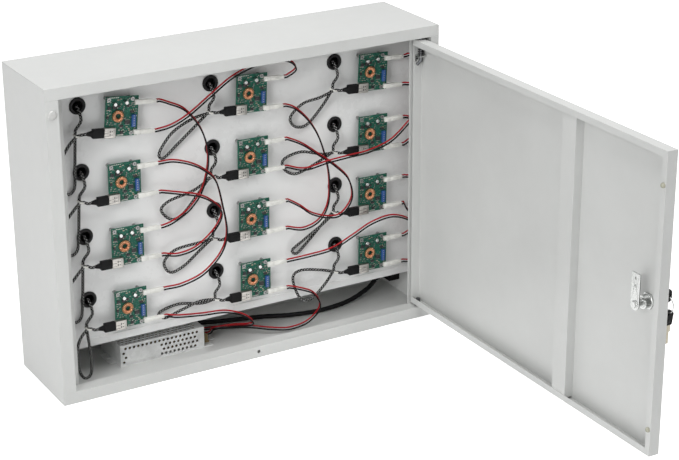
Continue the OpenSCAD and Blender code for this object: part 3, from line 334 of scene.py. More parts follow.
MAT = {
    "grey_paint": painted("grey_paint", (0.610, 0.618, 0.606)),
    # the same grey paint made lighter for the inside of the cabinet: painted light against the
    # shade in there
    "grey_paint_inside_painted_light": painted("grey_paint_inside_painted_light", (0.83, 0.835, 0.83), 0.30),
    "dark_steel": metal("dark_steel", (0.13, 0.135, 0.14), 0.38),
    "bright_steel": metal("bright_steel", (0.62, 0.63, 0.62), 0.24),
    "zinc_steel": metal("zinc_steel", (0.90, 0.91, 0.90), 0.42, (40, 300, 300), 0.3, 0.35),
    "key_metal": metal("key_metal", (0.40, 0.37, 0.30), 0.34),
    "tinned_steel": metal("tinned_steel", (0.50, 0.48, 0.45), 0.34),
    "spring_wire": metal("spring_wire", (0.055, 0.055, 0.058), 0.36),
    "black_rubber": plastic("black_rubber", (0.006, 0.006, 0.0065), 0.66, 1400.0, 0.25, 0.25),
    "screw_steel": metal("screw_steel", (0.34, 0.345, 0.34), 0.35),
    "black_plastic": plastic("black_plastic", (0.004, 0.004, 0.0045), 0.50, 1200.0, 0.2, 0.14),
    "chip_plastic": plastic("chip_plastic", (0.010, 0.010, 0.011), 0.5, 2500.0, 0.3),
    "white_plastic": plastic("white_plastic", (0.76, 0.755, 0.715), 0.42, 800.0, 0.08),
    "clear_plastic": plastic("clear_plastic", (0.72, 0.71, 0.56), 0.22, 500.0, 0.05, 0.5, 0.45),
    "clear_dome": plastic("clear_dome", (0.86, 0.86, 0.84), 0.12, 500.0, 0.03, 0.5, 0.35),
    "green_board": board_material("green_board"),
    "tan_board": plastic("tan_board", (0.17, 0.12, 0.05), 0.55, 400.0, 0.15),
    "copper_winding": copper("copper_winding"),
    "ferrite": plastic("ferrite", (0.19, 0.13, 0.05), 0.6, 1500.0, 0.3),
    "blue_case": plastic("blue_case", (0.018, 0.075, 0.25), 0.35, 900.0, 0.1),
    "capacitor_can": metal("capacitor_can", (0.62, 0.62, 0.61), 0.26),
    "resistor_body": plastic("resistor_body", (0.035, 0.034, 0.033), 0.5, 1500.0, 0.2),
    "ceramic_body": plastic("ceramic_body", (0.36, 0.25, 0.14), 0.5, 1500.0, 0.2),
    "braided_cord": braid("braided_cord"),
    "red_insulation": plastic("red_insulation", (0.36, 0.007, 0.012), 0.38, 700.0, 0.06, 0.2),
    "black_insulation": plastic("black_insulation", (0.003, 0.003, 0.0034), 0.42, 700.0, 0.08,
                                0.14),
    "sleeve_plastic": plastic("sleeve_plastic", (0.005, 0.005, 0.0055), 0.55, 900.0, 0.3, 0.18),
}


# Geometry helpers, all in millimetres
class Build:
    """Collects the solids of one piece and makes one mesh of them."""

    def __init__(self):
        self.v, self.f, self.uv = [], [], []

    def add(self, verts, faces, uvs=None, T=None):
        k = len(self.v)
        for p in verts:
            p = Vector(p)
            if T is not None:
                p = T @ p
            self.v.append(p * MM)
        for i, f in enumerate(faces):
            self.f.append(tuple(k + a for a in f))
            self.uv.append(uvs[i] if uvs else [(0, 0)] * len(f))

    def box(self, lo, hi, T=None, chamfer=0.0):
        (x0, y0, z0), (x1, y1, z1) = lo, hi
        if not chamfer:
            v = [(x0, y0, z0), (x1, y0, z0), (x1, y1, z0), (x0, y1, z0),
                 (x0, y0, z1), (x1, y0, z1), (x1, y1, z1), (x0, y1, z1)]
            f = [(0, 3, 2, 1), (4, 5, 6, 7), (0, 1, 5, 4), (1, 2, 6, 5), (2, 3, 7, 6), (3, 0, 4, 7)]
            self.add(v, f, T=T)
            return
        bm = bmesh.new()
        bmesh.ops.create_cube(bm, size=1.0)
        for p in bm.verts:
            p.co = Vector((x0 if p.co.x < 0 else x1, y0 if p.co.y < 0 else y1,
                           z0 if p.co.z < 0 else z1))
        bmesh.ops.bevel(bm, geom=bm.edges[:], offset=chamfer, segments=2, profile=0.5,
                        affect="EDGES")
        self.add_bmesh(bm, T)

    def add_bmesh(self, bm, T):
        bm.verts.index_update()
        self.add([p.co.copy() for p in bm.verts], [[q.index for q in fc.verts] for fc in bm.faces],
                 T=T)
        bm.free()

    def lathe(self, profile, seg=32, T=None, close=False):
        """Profile of (radius, height) turned round Z."""
        n = len(profile)
        v = [(r * math.cos(math.tau * s / seg), r * math.sin(math.tau * s / seg), h)
             for s in range(seg) for r, h in profile]
        f = []
        for s in range(seg):
            t = (s + 1) % seg
            for i in range(n if close else n - 1):
                j = (i + 1) % n
                f.append((s * n + i, t * n + i, t * n + j, s * n + j))
        if not close:
            if profile[0][0] > 1e-6:
                f.append(tuple(s * n for s in reversed(range(seg))))
            if profile[-1][0] > 1e-6:
                f.append(tuple(s * n + n - 1 for s in range(seg)))
        self.add(v, f, T=T)

    def tube(self, pts, r, sides=10, T=None, radii=None):
        """Round tube along the points, with u in metres along it and v round it."""
        pts = [Vector(p) for p in pts]
        n = len(pts)
        tan = [(pts[min(i + 1, n - 1)] - pts[max(i - 1, 0)]).normalized() for i in range(n)]
        ref = tan[0].cross(Vector((0, 0, 1)) if abs(tan[0].z) < 0.9 else Vector((1, 0, 0)))
        nrm = ref.normalized()
        v, run, run_list = [], 0.0, []
        for i in range(n):
            nrm = (nrm - tan[i] * nrm.dot(tan[i])).normalized()
            bi = tan[i].cross(nrm)
            if i:
                run += (pts[i] - pts[i - 1]).length
            run_list.append(run * MM)
            rr = radii[i] if radii else r
            for s in range(sides):
                a = math.tau * s / sides
                v.append(pts[i] + (nrm * math.cos(a) + bi * math.sin(a)) * rr)
        f, uvs = [], []
        for i in range(n - 1):
            j = i + 1
            for s in range(sides):
                t = (s + 1) % sides
                f.append((i * sides + s, i * sides + t, j * sides + t, j * sides + s))
                u0, u1 = run_list[i], run_list[j]
                uvs.append([(u0, s / sides), (u0, (s + 1) / sides), (u1, (s + 1) / sides),
                            (u1, s / sides)])
        f.append(tuple(reversed(range(sides))))
        f.append(tuple((n - 1) * sides + s for s in range(sides)))
        uvs += [[(0, 0)] * sides] * 2
        self.add(v, f, uvs, T)

    def make(self, name, material, body, replaces=(), slot=None, angle=38.0, bevel=0.0):
        me = bpy.data.meshes.new(name)
        me.from_pydata([tuple(p) for p in self.v], [], self.f)
        layer = me.uv_layers.new(name="UVMap")
        i = 0
        for corners in self.uv:
            for uv in corners:
                layer.data[i].uv = uv
                i += 1
        for f in me.polygons:
            f.use_smooth = True
        me.set_sharp_from_angle(angle=math.radians(angle))
        me.update()
        ob = bpy.data.objects.new(name, me)
        scene.collection.objects.link(ob)
        ob.data.materials.append(MAT[material])
        if bevel:
            soften(ob, bevel)
        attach(ob, body)
        for r in replaces:
            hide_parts(r)
        return ob


def soften(ob, width, weld=False):
    if weld:
        w = ob.modifiers.new("weld", "WELD")
        w.merge_threshold = 1e-6
    b = ob.modifiers.new("bevel", "BEVEL")
    b.width = width
    b.segments = 2
    b.limit_method = "ANGLE"
    b.angle_limit = math.radians(40.0)
    b.use_clamp_overlap = True
    b.harden_normals = False


def T_of(origin, rot=None):
    m = Matrix.Translation(Vector(origin))
    return m @ rot.to_4x4() if rot is not None else m


def along(axis):
    """Turns +Z to the given axis."""
    return Vector((0, 0, 1)).rotation_difference(Vector(axis)).to_matrix()


def curve_points(p, step):
    """Points of a smooth curve through p, about step apart."""
    p = [Vector(q) for q in p]
    out = []
    for i in range(len(p) - 1):
        a, b, c, d = p[max(i - 1, 0)], p[i], p[i + 1], p[min(i + 2, len(p) - 1)]
        n = max(1, int((c - b).length / step + 0.5))
        for k in range(n):
            t = k / n
            out.append(0.5 * (2 * b + (c - a) * t + (2 * a - 5 * b + 4 * c - d) * t * t
                              + (3 * b - a - 3 * c + d) * t ** 3))
    out.append(p[-1].copy())
    return out


# Sizes of the part, in millimetres
HALF = 300.0
SHEET = 1.2
BAY_W = 590.0 / 3
BAY_H = 93.4
BAY_FLOOR = 62.4
PANEL_FRONT = -15.0
PANEL_BACK = -13.8
BOARD_T = 1.6
BOARD_Y = PANEL_FRONT - 10 - BOARD_T
BOARD_W, BOARD_H = 48.0, 55.5
LEAN = [[6, 3, 3], [1, 1, 2], [1, 1, 1], [1, 1, 1]]
SOCKET_T, SOCKET_W, SOCKET_H = 6.5, 16.0, 14.0
PLUG_X = -BOARD_W / 2 - 2.3
PLUG_Z = -BOARD_H / 2 + SOCKET_H / 2
PLUG_L, PLUG_W, PLUG_T, PLUG_TAPER = 17.0, 13.0, 7.5, 8.0
LEAD_D = 4.2
GRIP = LEAD_D / 2 + 0.3
WIRE_D = 2.3
PIVOT = (275.0, -67.25)
DOOR_FREE = -554.75
LOCK_X = DOOR_FREE + 35
LOCK_Z = 220.0


def bay_left(c):
    return -HALF + 5 + c * BAY_W


def bay_low(r):
    return BAY_FLOOR + (3 - r) * BAY_H


def grommet_x(c):
    return bay_left(c) + 63


def grommet_z(r):
    return bay_low(r) + BAY_H - 35


def on_board(r, c):
    """The frame of a charger board: its face at y 0, with its lean."""
    return T_of((grommet_x(c) + 58, BOARD_Y, grommet_z(r) - 21),
                Matrix.Rotation(math.radians(LEAN[r][c]), 3, "Y"))


BAYS = [(r, c) for r in range(4) for c in range(3)]


def hung():
    """The frame of the service door, which stands open by 90 degrees at rest."""
    return Matrix.Translation((PIVOT[0], PIVOT[1], 0)) @ Matrix.Rotation(math.radians(90), 4, "Z")


# Looks of the pieces that stay as the CAD made them
NODE_MAT = {
    "top_panel": "grey_paint", "bottom_panel": "grey_paint", "left_side_panel": "grey_paint",
    "right_side_panel": "grey_paint", "bay_shelves": "grey_paint_inside_painted_light",
    "bay_dividers": "grey_paint", "hinge_pins": "dark_steel", "mounting_panel": "grey_paint_inside_painted_light",
    "cable_grommets": "black_rubber", "board_standoffs": "screw_steel",
    "charger_boards": "green_board", "cable_ties": "white_plastic", "supply_base": "zinc_steel",
    "supply_cover": "zinc_steel", "supply_circuit": "tan_board", "mains_inlet": "black_plastic",
    "frame_bumper": "clear_dome", "service_door": "grey_paint", "door_stiffener": "grey_paint",
    "hinge_bracket": "bright_steel", "door_buffers": "clear_plastic", "lock_barrel": "bright_steel",
    "hinge_bolt": "dark_steel", "lock_cam": "bright_steel",
}
BEVELS = {"cable_grommets": 0.3, "board_standoffs": 0.25, "charger_boards": 0.15,
          "cable_ties": 0.2, "supply_cover": 0.35, "supply_circuit": 0.2, "mains_inlet": 0.5,
          "lock_cam": 0.35, "lock_barrel": 0.35, "hinge_pins": 0.3, "frame_bumper": 0.0,
          "door_buffers": 0.0, "hinge_bracket": 0.2}
EDGE = 0.4
for i in range(1, 13):
    NODE_MAT["bay_door_%02d" % i] = "grey_paint"
    NODE_MAT["bay_lock_%02d" % i] = "bright_steel"
for node, mat in NODE_MAT.items():
    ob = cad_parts[node]
    ob.data.materials.clear()
    ob.data.materials.append(MAT[mat])
    w = BEVELS.get(node, EDGE)
    if w:
        soften(ob, w * MM, weld=True)

# Choke coils: a ring core with copper wire wound on it
CHOKE_R, CHOKE_UP, CORE_R, WOUND_R, CHOKE_WIRE_R = 6, 2.5, 1.9, 2.35, 0.42
TURNS, PER_TURN = 22, 12
core, wind = Build(), Build()
for r, c in BAYS:
    tilt = on_board(r, c) @ T_of((-6, 0, 1)) @ Matrix.Rotation(math.radians(90), 4, "X")
    prof = [(CHOKE_R + CORE_R * math.cos(a), CHOKE_UP + CORE_R * math.sin(a))
            for a in (math.tau * k / 12 for k in range(12))]
    core.lathe(prof, 32, tilt, close=True)
    pts = []
    for k in range(TURNS * PER_TURN):
        a = math.tau * k / (TURNS * PER_TURN) * 0.97
        b = math.tau * k / PER_TURN
        rr = CHOKE_R + WOUND_R * math.cos(b)
        pts.append((rr * math.cos(a), rr * math.sin(a), CHOKE_UP + WOUND_R * math.sin(b)))
    wind.tube(pts, CHOKE_WIRE_R, 6, tilt)
core.make("choke_cores", "ferrite", "cabinet", ["board_components"], "copper_winding")
wind.make("choke_windings", "copper_winding", "cabinet", slot="copper_winding")

# Chips, capacitors and small parts on the boards
chips, pins, cases, cans, bodies, ends, brown, marks = (Build() for i in range(8))
rnd = random.Random(7)
TINY = [(-21, 20.5), (-17, 20), (-20, 17), (-7, 12), (-1, 17), (9, 17), (9, 12.5), (15, 18),
        (15, 16), (19, 15), (21, 9), (21, 0), (-21, 9), (-17, 4), (-21, 5.5), (-17, -11),
        (-13, -11.5), (-9, -10), (3, -19), (-3, -19), (4.5, -23), (11, -17.5), (20, -17.5),
        (20, -19.5), (-2, 24), (11, 24.5)]
SMALL = [(-20, -6), (-20, 2), (-17, 8), (-3, -12), (0, -16), (8, -15), (3, 12), (-4, 14),
         (13, 8), (17, 8), (12, 14), (-18, 14), (8, 22), (-6, 23), (17, 12.5), (1, -21), (7, -21),
         (12, -20), (2, 8.5), (-15, -8), (20, 6), (-1, -9.5), (13, -2), (5, -3), (-21, -9)]
FLAT_CHIPS = [((-21, -1.5, 10), (-16.5, 0, 14.5), 0.15),
              ((-1.5, -1.2, -24.5), (3, 0, -20.5), 0.12),
              ((12.5, -1.6, 4.2), (18, 0, 7.2), 0.15),
              ((-22.5, -2.2, -2.5), (-19.2, 0, 1.0), 0.2),
              ((-8.5, -1.4, 12.8), (-3.2, 0, 15.6), 0.12),
              ((-3, -1.5, -15), (2.5, 0, -12.2), 0.12),
              ((6.5, -1.2, 12.4), (10.5, 0, 15.8), 0.12)]
for r, c in BAYS:
    T = on_board(r, c)
    chips.box((5, -1.75, -11), (12, -0.25, -6), T, 0.12)
    for k in range(4):
        for s in (-1, 1):
            x = 5.9 + 1.7 * k
            z = -8.5 + s * 2.5
            foot = z + s * 1.3
            pins.box((x - 0.25, -0.9, min(z, foot)), (x + 0.25, 0, max(z, foot)), T, 0.05)
    chips.box((-14, -1.9, 10.5), (-8, 0, 15), T, 0.15)
    pins.box((-13.4, -0.7, 15), (-8.6, 0, 16.8), T, 0.1)
    cases.box((14.5, -3.9, -15), (20, -0.1, 2), T, 0.35)
    for k in range(5):
        pins.box((16.6, -3.98, -13.4 + 3.4 * k), (17.9, -3.6, -12.6 + 3.4 * k), T, 0.1)
    for (x, z, h, d) in ((-12, 18, 6, 5), (4, 20, 7, 5)):
        TT = T @ T_of((x, 0, z), along((0, -1, 0)))
        cans.lathe([(d / 2 - 0.2, 0), (d / 2, 0.3), (d / 2, 0.9), (d / 2 - 0.15, 1.2),
                    (d / 2, 1.5), (d / 2, h - 0.3), (d / 2 - 0.25, h), (0, h)], 24, TT)
        chips.lathe([(d / 2 + 0.35, 0), (d / 2 + 0.35, 0.9), (0, 0.9)], 4,
                    TT @ Matrix.Rotation(math.radians(45), 4, "Z"))
    for k, (x, z) in enumerate(SMALL):
        wide, tall = (2.0, 1.2) if k % 3 else (1.2, 2.0)
        target = brown if k % 4 == 1 else bodies
        h = 0.5 + 0.3 * rnd.random()
        target.box((x - wide / 2, -h, z - tall / 2), (x + wide / 2, 0, z + tall / 2), T, 0.05)
        for s in (-1, 1):
            if wide > tall:
                ends.box((x + s * wide / 2 - 0.25, -h - 0.05, z - tall / 2 - 0.05),
                         (x + s * wide / 2 + 0.25, 0, z + tall / 2 + 0.05), T, 0.05)
            else:
                ends.box((x - wide / 2 - 0.05, -h - 0.05, z + s * tall / 2 - 0.25),
                         (x + wide / 2 + 0.05, 0, z + s * tall / 2 + 0.25), T, 0.05)
    for k, (x, z) in enumerate(TINY):
        h = 0.35 + 0.25 * rnd.random()
        w = 0.55 + 0.35 * rnd.random()
        (bodies if k % 3 else brown).box((x - w, -h, z - 0.5), (x + w, 0, z + 0.5), T, 0.05)
        for s in (-1, 1):
            ends.box((x + s * w - 0.3, -h - 0.04, z - 0.55),
                     (x + s * w + 0.3, 0, z + 0.55), T, 0.05)
    for lo, hi, edge in FLAT_CHIPS:
        chips.box(lo, hi, T, edge)
    for k in range(4):
        pins.box((-20.6 + 1.2 * k, -0.5, 9), (-20.1 + 1.2 * k, 0, 10), T)
        pins.box((-1.2 + 1.1 * k, -0.4, -25.2), (-0.8 + 1.1 * k, 0, -24.5), T)
    for k in range(7):
        marks.box((-22.5 + 2.6 * k, -0.06, 25.6), (-21.0 + 2.6 * k, 0, 26.6), T)
    for k in range(5):
        marks.lathe([(0.9, 0), (0.8, 0.35), (0.3, 0.7), (0, 0.75)], 12,
                    T @ T_of((-5 + 2.0 * k, 0, -26), along((0, -1, 0))))
chips.make("chip_bodies", "chip_plastic", "cabinet", slot="black_plastic")
pins.make("chip_pins", "tinned_steel", "cabinet", slot="tinned_steel")
cases.make("relay_cases", "blue_case", "cabinet", slot="black_plastic")
cans.make("capacitor_cans", "capacitor_can", "cabinet", slot="tinned_steel")
bodies.make("resistor_bodies", "resistor_body", "cabinet", slot="black_plastic")
brown.make("ceramic_bodies", "ceramic_body", "cabinet", slot="black_plastic")
ends.make("solder_ends", "tinned_steel", "cabinet", slot="tinned_steel")
marks.make("solder_joints", "tinned_steel", "cabinet", slot="tinned_steel")

# Power connectors: a header on the board and the wires' housing pushed into it
shells, blades = Build(), Build()
for r, c in BAYS:
    T = on_board(r, c)
    for z in (19.5, -22.5):
        shells.box((18, -5, z - 3.25), (27.5, 0, z + 3.25), T, 0.4)
        shells.box((27.5, -4.6, z - 2.9), (44.5, -0.4, z + 2.9), T, 0.5)
        shells.box((30.0, -5.0, z - 1.1), (40.0, -4.4, z + 1.1), T, 0.25)
        for k in range(5):
            shells.box((31.5 + 2.4 * k, -4.7, z - 3.2), (32.4 + 2.4 * k, -0.3, z + 3.2), T, 0.15)
        shells.box((44.5, -4.1, z - 2.4), (49.0, -0.9, z + 2.4), T, 0.6)
        for s in (-1, 1):
            blades.box((16.3, -1.0, z + s * 1.25 - 0.3), (18.2, 0, z + s * 1.25 + 0.3), T, 0.05)
shells.make("connector_housings", "white_plastic", "cabinet", ["power_connectors"],
            "white_plastic")
blades.make("connector_pins", "tinned_steel", "cabinet", slot="tinned_steel")

# USB sockets: folded shell with its springs, and black patches of painted shade in its slots, its
# seam and under the springs
shell, socket_shade = Build(), Build()
x0, z0 = -BOARD_W / 2 - 2, -BOARD_H / 2
x1, z1 = x0 + SOCKET_W, z0 + SOCKET_H
face = -SOCKET_T
for r, c in BAYS:
    T = on_board(r, c)
    shell.box((x0, face, z0), (x1, face + 0.5, z1), T, 0.2)
    shell.box((x0, -0.5, z0), (x1, 0, z1), T, 0.2)
    shell.box((x0, face, z1 - 0.6), (x1, 0, z1), T, 0.2)
    shell.box((x0, face, z0), (x1, 0, z0 + 0.6), T, 0.2)
    shell.box((x1 - 0.8, face, z0), (x1, 0, z1), T, 0.2)
    for s in (0, 1):
        zz = z0 + 3.2 + s * 4.6
        shell.box((x0 - 0.4, face - 0.35, zz), (x0 + 6.0, face + 0.1, zz + 2.6), T, 0.15)
        # black patches: painted shade in the slots and the seam, painted shadow under each spring
        socket_shade.box((x0 + 7.0, face - 0.04, zz - 0.3), (x0 + 8.4, face + 0.1, zz + 2.9), T)
        socket_shade.box((x0 - 0.3, face - 0.38, zz - 0.5), (x0 + 6.2, face + 0.05, zz), T)
        socket_shade.box((x0 + 9.6, face - 0.04, zz + 0.6), (x0 + 11.6, face + 0.1, zz + 1.8), T)
    socket_shade.box((x0 + 13.0, face - 0.04, z0 + 2), (x0 + 13.5, face + 0.1, z1 - 2), T)
    shell.box((x1 - 4, -1.2, z0 - 0.6), (x1 - 1.5, 0, z0), T, 0.1)
shell.make("usb_socket_shells", "tinned_steel", "cabinet", ["usb_sockets"], "tinned_steel")
socket_shade.make("usb_socket_shade", "chip_plastic", "cabinet", slot="black_plastic")

# USB plugs: moulded body with grip ribs and a ribbed strain relief
moulded, metal_end = Build(), Build()
for r, c in BAYS:
    T = on_board(r, c) @ T_of((PLUG_X, -SOCKET_T / 2, PLUG_Z))
    moulded.box((-PLUG_L, -PLUG_T / 2, -PLUG_W / 2), (0, PLUG_T / 2, PLUG_W / 2), T, 1.3)
    for k in range(5):
        moulded.box((-12.5 + 2.0 * k, -PLUG_T / 2 - 0.25, -3.6),
                    (-11.5 + 2.0 * k, PLUG_T / 2 + 0.25, 3.6), T, 0.2)
    prof = []
    for k in range(9):
        t = k / 8
        rr = 4.4 - 2.0 * t
        prof += [(rr, PLUG_TAPER * t), (rr - (0.45 if k % 2 else 0), PLUG_TAPER * t + 0.3)]
    prof = [(rr, min(h, PLUG_TAPER)) for rr, h in prof]
    moulded.lathe(prof, 24, T @ T_of((-PLUG_L, 0, 0), along((-1, 0, 0)))
                  @ Matrix.Diagonal((1, 0.82, 1, 1)))
    metal_end.box((0, -2.1, -5.8), (12, 2.1, 5.8), T, 0.25)
moulded.make("usb_plug_bodies", "black_plastic", "cabinet", ["usb_plugs"], "black_plastic")
metal_end.make("usb_plug_tips", "tinned_steel", "cabinet", slot="tinned_steel")

# USB leads, each with its real route and its phone plug. The slack is measured from the tie.
SLACK = [
    [[[-14, -5, -10], [-25, 0, -34], [-25, 5, -62], [-16, 8, -82], [-5, 7, -76], [-3, 5, -46]],
     [[-30, -4, -4], [-58, 0, -20], [-76, 4, -46], [-70, 6, -56], [-48, 6, -40], [-18, 2, -14]],
     [[-24, -4, -6], [-50, 0, -12], [-68, 4, -30], [-60, 6, -46], [-40, 6, -46], [-16, 2, -20]]],
    [[[-14, -5, -10], [-26, 0, -30], [-27, 5, -58], [-18, 8, -77], [-6, 7, -72], [-3, 5, -44]],
     [[-30, -4, -14], [-66, 0, -24], [-77, 4, -37], [-62, 6, -54], [-44, 6, -50], [-20, 2, -22]],
     [[-22, -4, 2], [-54, 0, 10], [-80, 4, 2], [-78, 6, -14], [-58, 6, -24], [-22, 2, -10]]],
    [[[-14, -5, -10], [-25, 0, -30], [-26, 5, -60], [-17, 8, -83], [-6, 7, -78], [-3, 5, -46]],
     [[-24, -4, 0], [-60, 0, -5], [-76, 4, -22], [-66, 6, -40], [-44, 6, -34], [-18, 2, -12]],
     [[-24, -4, -14], [-50, 0, -32], [-68, 4, -46], [-60, 6, -54], [-40, 6, -38], [-18, 2, -14]]],
    [[[-13, -5, -9], [-20, -6, -27], [-20, -8, -54], [-13, -9, -69], [-3, -8, -66], [0, -6, -44]],
     [[-26, -4, 4], [-56, -2, -4], [-80, 2, -12], [-86, 6, -4], [-56, 7, 2], [-20, 5, -4]],
     [[-28, -4, 10], [-58, 0, 14], [-68, 4, 2], [-62, -4, -26], [-46, -8, -32], [-20, -4, -16]]]]


def lead_route(r, c):
    """From the USB plug to the tie, round the slack, up to the grommet and into the bay."""
    tail = on_board(r, c) @ Vector((PLUG_X - PLUG_L - PLUG_TAPER, -SOCKET_T / 2, PLUG_Z))
    tie = Vector((grommet_x(c) - 8, PANEL_FRONT - 12, grommet_z(r) - 37.5))
    hole = Vector((grommet_x(c), 0, grommet_z(r)))
    low = bay_low(r) + SHEET / 2 + LEAD_D / 2 + 0.3
    back = PANEL_BACK + 9
    return ([tail, tail - Vector((5, 0, 0)), tie + Vector((0, -GRIP, 0))]
            + [tie + Vector(p) for p in SLACK[r][c]]
            + [tie + Vector((-1, GRIP, 0)), tie + Vector((1, GRIP, 9)),
               hole + Vector((1, PANEL_FRONT - 9, -18)), hole + Vector((0, PANEL_FRONT - 2, -3)),
               hole + Vector((0, PANEL_BACK + 3, -1)), hole + Vector((1, PANEL_BACK + 8, -8)),
               hole + Vector((4, back, -26)), Vector((hole.x + 14, back, low + 6)),
               Vector((hole.x + 32, back, low)), Vector((hole.x + 56, back, low))])


for k, (r, c) in enumerate(BAYS, 1):
    pts = curve_points(lead_route(r, c), 3.0)
    lead = Build()
    lead.tube(pts, LEAD_D / 2, 14)
    ob = lead.make("usb_lead_%02d" % k, "braided_cord", "cabinet",
                   ["usb_leads"] if k == 1 else (), "braided_cord", 60)
    plug = Build()
    T = T_of(pts[-1])
    plug.tube([(-6, 0, 0), (-3, 0, 0), (0, 0, 0)], 2.3, 14, T, radii=[2.0, 2.25, 2.5])
    plug.box((0, -4.5, -1.9), (16, 4.5, 3.5), T, 0.9)
    for j in range(4):
        plug.box((4 + 2 * j, -4.65, -1.2), (5 + 2 * j, 4.65, 3.0), T, 0.2)
    tip = Build()
    tip.box((16, -3.5, -1), (22, 3.5, 1.4), T, 0.5)
    body = plug.make("phone_plug_%02d" % k, "black_plastic", "cabinet",
                     ["phone_plugs"] if k == 1 else (), "black_plastic")
    nose = tip.make("phone_plug_tip_%02d" % k, "tinned_steel", "cabinet", slot="tinned_steel")

# Supply wires from board to board, red and black side by side. A run has its first and last
# connector as row, column and upper or lower, its depth before the panel, and its points.
WIRE_Y = BOARD_Y - 2.5
RUNS = [
    [[0, 0, 1], [2, 0, 1], 9, [[-108, 390], [-85, 377], [-62, 345], [-53, 305], [-62, 262],
        [-82, 235], [-106, 218]]],
    [[0, 0, -1], [0, 1, 1], 14, [[-105, 358], [-83, 371], [-50, 392], [-12, 415], [35, 428],
        [72, 424], [88, 408]]],
    [[0, 1, -1], [2, 1, -1], 9, [[88, 349], [106, 330], [122, 303], [133, 270], [139, 236],
        [137, 199], [122, 175], [98, 165]]],
    [[1, 1, 1], [2, 1, 1], 14, [[97, 295], [120, 277], [145, 257], [168, 232], [174, 202],
        [157, 180], [135, 179], [107, 190], [92, 202]]],
    [[1, 1, -1], [0, 2, -1], 20, [[99, 258], [130, 266], [165, 268], [200, 270], [235, 279],
        [264, 300], [286, 322], [290, 340], [288, 351], [280, 355]]],
    [[1, 0, 1], [3, 0, 1], 14, [[-105, 307], [-83, 301], [-62, 288], [-45, 269], [-36, 233],
        [-30, 190], [-40, 160], [-68, 135], [-98, 122]]],
    [[1, 0, -1], [2, 0, -1], 18, [[-98, 259], [-74, 254], [-52, 240], [-39, 221], [-52, 198],
        [-80, 178], [-104, 169]]],
    [[2, 2, -1], [3, 2, 1], 4, [[276, 160], [288, 146], [284, 126]]],
    [[0, 2, 1], [1, 2, -1], 9, [[280, 398], [291, 380], [294, 340], [293, 300], [286, 275]]],
    [[1, 2, 1], [2, 2, 1], 14, [[280, 300], [289, 270], [291, 240], [284, 214]]],
    [[3, 1, 1], [3, 2, -1], 18, [[106, 123], [139, 130], [173, 143], [207, 157], [245, 160],
        [280, 140], [292, 100], [286, 78]]]]
SUPPLY_X, SUPPLY_Y, SUPPLY_L = -185.0, -6.0, 132.0
SUPPLY_RIGHT = SUPPLY_X + SUPPLY_L
TERMINAL_Z = 15.0
TERMINAL_OUT = 9.0
FEEDS = [
    [[3, 0, -1], [[-106, WIRE_Y - 6, 74], [-70, WIRE_Y - 9, 70], [-30, WIRE_Y - 4, 63],
        [0, WIRE_Y - 6, 50], [12, WIRE_Y - 4, 34], [-5, 0, 22], [-28, 12, 18]]],
    [[3, 1, -1], [[94, WIRE_Y - 9, 72], [111, WIRE_Y - 12, 62], [118, WIRE_Y - 16, 42],
        [104, WIRE_Y - 6, 18], [78, -25, 8], [50, -14, 10], [20, 2, 14], [-20, 16, 16]]]]
INLET_Y, INLET_Z = 38.0, 30.0
INLET_BACK = HALF - SHEET - 18
SLEEVE_END = Vector((INLET_BACK - 22, INLET_Y - 6, INLET_Z - 6))


def connector_end(r, c, side):
    z = side * 19.5 - (0 if side > 0 else 3)
    return on_board(r, c) @ Vector((BOARD_W / 2 + 25, -2.5, z))


def wire_routes(lift):
    """All routes of one colour: lift is 1 for the upper wire of a pair and -1 for the lower."""
    d = Vector((0, 0.55, 0.6)) * WIRE_D * lift
    four = Vector((4, 0, 0))
    out = []
    for run in RUNS:
        a, b, n = connector_end(*run[0]), connector_end(*run[1]), len(run[3])
        mid = []
        for i, (x, z) in enumerate(run[3]):
            mid.append(Vector((x, WIRE_Y - run[2] * (0.5 if i in (0, n - 1) else 1), z)) + d)
        out.append([a + d, a + four + d] + mid + [b + four + d, b + d])
    for i, feed in enumerate(FEEDS):
        a = connector_end(*feed[0])
        y = SUPPLY_Y + 14 + 16 * i
        out.append([a + d, a + four + d] + [Vector(p) + d for p in feed[1]]
                   + [Vector((SUPPLY_RIGHT + TERMINAL_OUT + 7, y + lift * 3, TERMINAL_Z)),
                      Vector((SUPPLY_RIGHT + TERMINAL_OUT - 0.5, y + lift * 4, TERMINAL_Z))])
    tail = INLET_Z + 3 + WIRE_D / 2 + 0.2
    out.append([SLEEVE_END + Vector((1, lift * 1.5 + 0.3, 0.8)),
                SLEEVE_END + Vector((6, lift * 4, 4)),
                Vector((INLET_BACK - 7, INLET_Y + lift * 7, tail)),
                Vector((INLET_BACK - 1, INLET_Y + lift * 7, tail))])
    return out


for lift, name, mat in ((1, "red_wires", "red_insulation"),
                        (-1, "black_wires", "black_insulation")):
    wires = Build()
    for route in wire_routes(lift):
        wires.tube(curve_points(route, 4.0), WIRE_D / 2, 10)
    wires.make(name + "_smooth", mat, "cabinet", [name], mat, 60)

# Sleeve round the mains wires, with shallow ribs
SLEEVE_R = 3.5
start = Vector((SUPPLY_RIGHT + TERMINAL_OUT + 3, SUPPLY_Y + 56, TERMINAL_Z))
low = SHEET + SLEEVE_R + 0.3
sleeve_pts = curve_points([start, start + Vector((40, -2, -6)), (60, 40, low), (105, 22, low),
                           (150, 14, low), (200, 17, low + 2), SLEEVE_END - Vector((20, 8, 8)),
                           SLEEVE_END], 3.0)
sleeve = Build()
sleeve.tube(sleeve_pts, SLEEVE_R, 20,
            radii=[SLEEVE_R if (i // 2) % 2 else 3.35 for i in range(len(sleeve_pts))])
sleeve.make("wire_sleeve_smooth", "sleeve_plastic", "cabinet", ["wire_sleeves"],
            "black_insulation", 60)

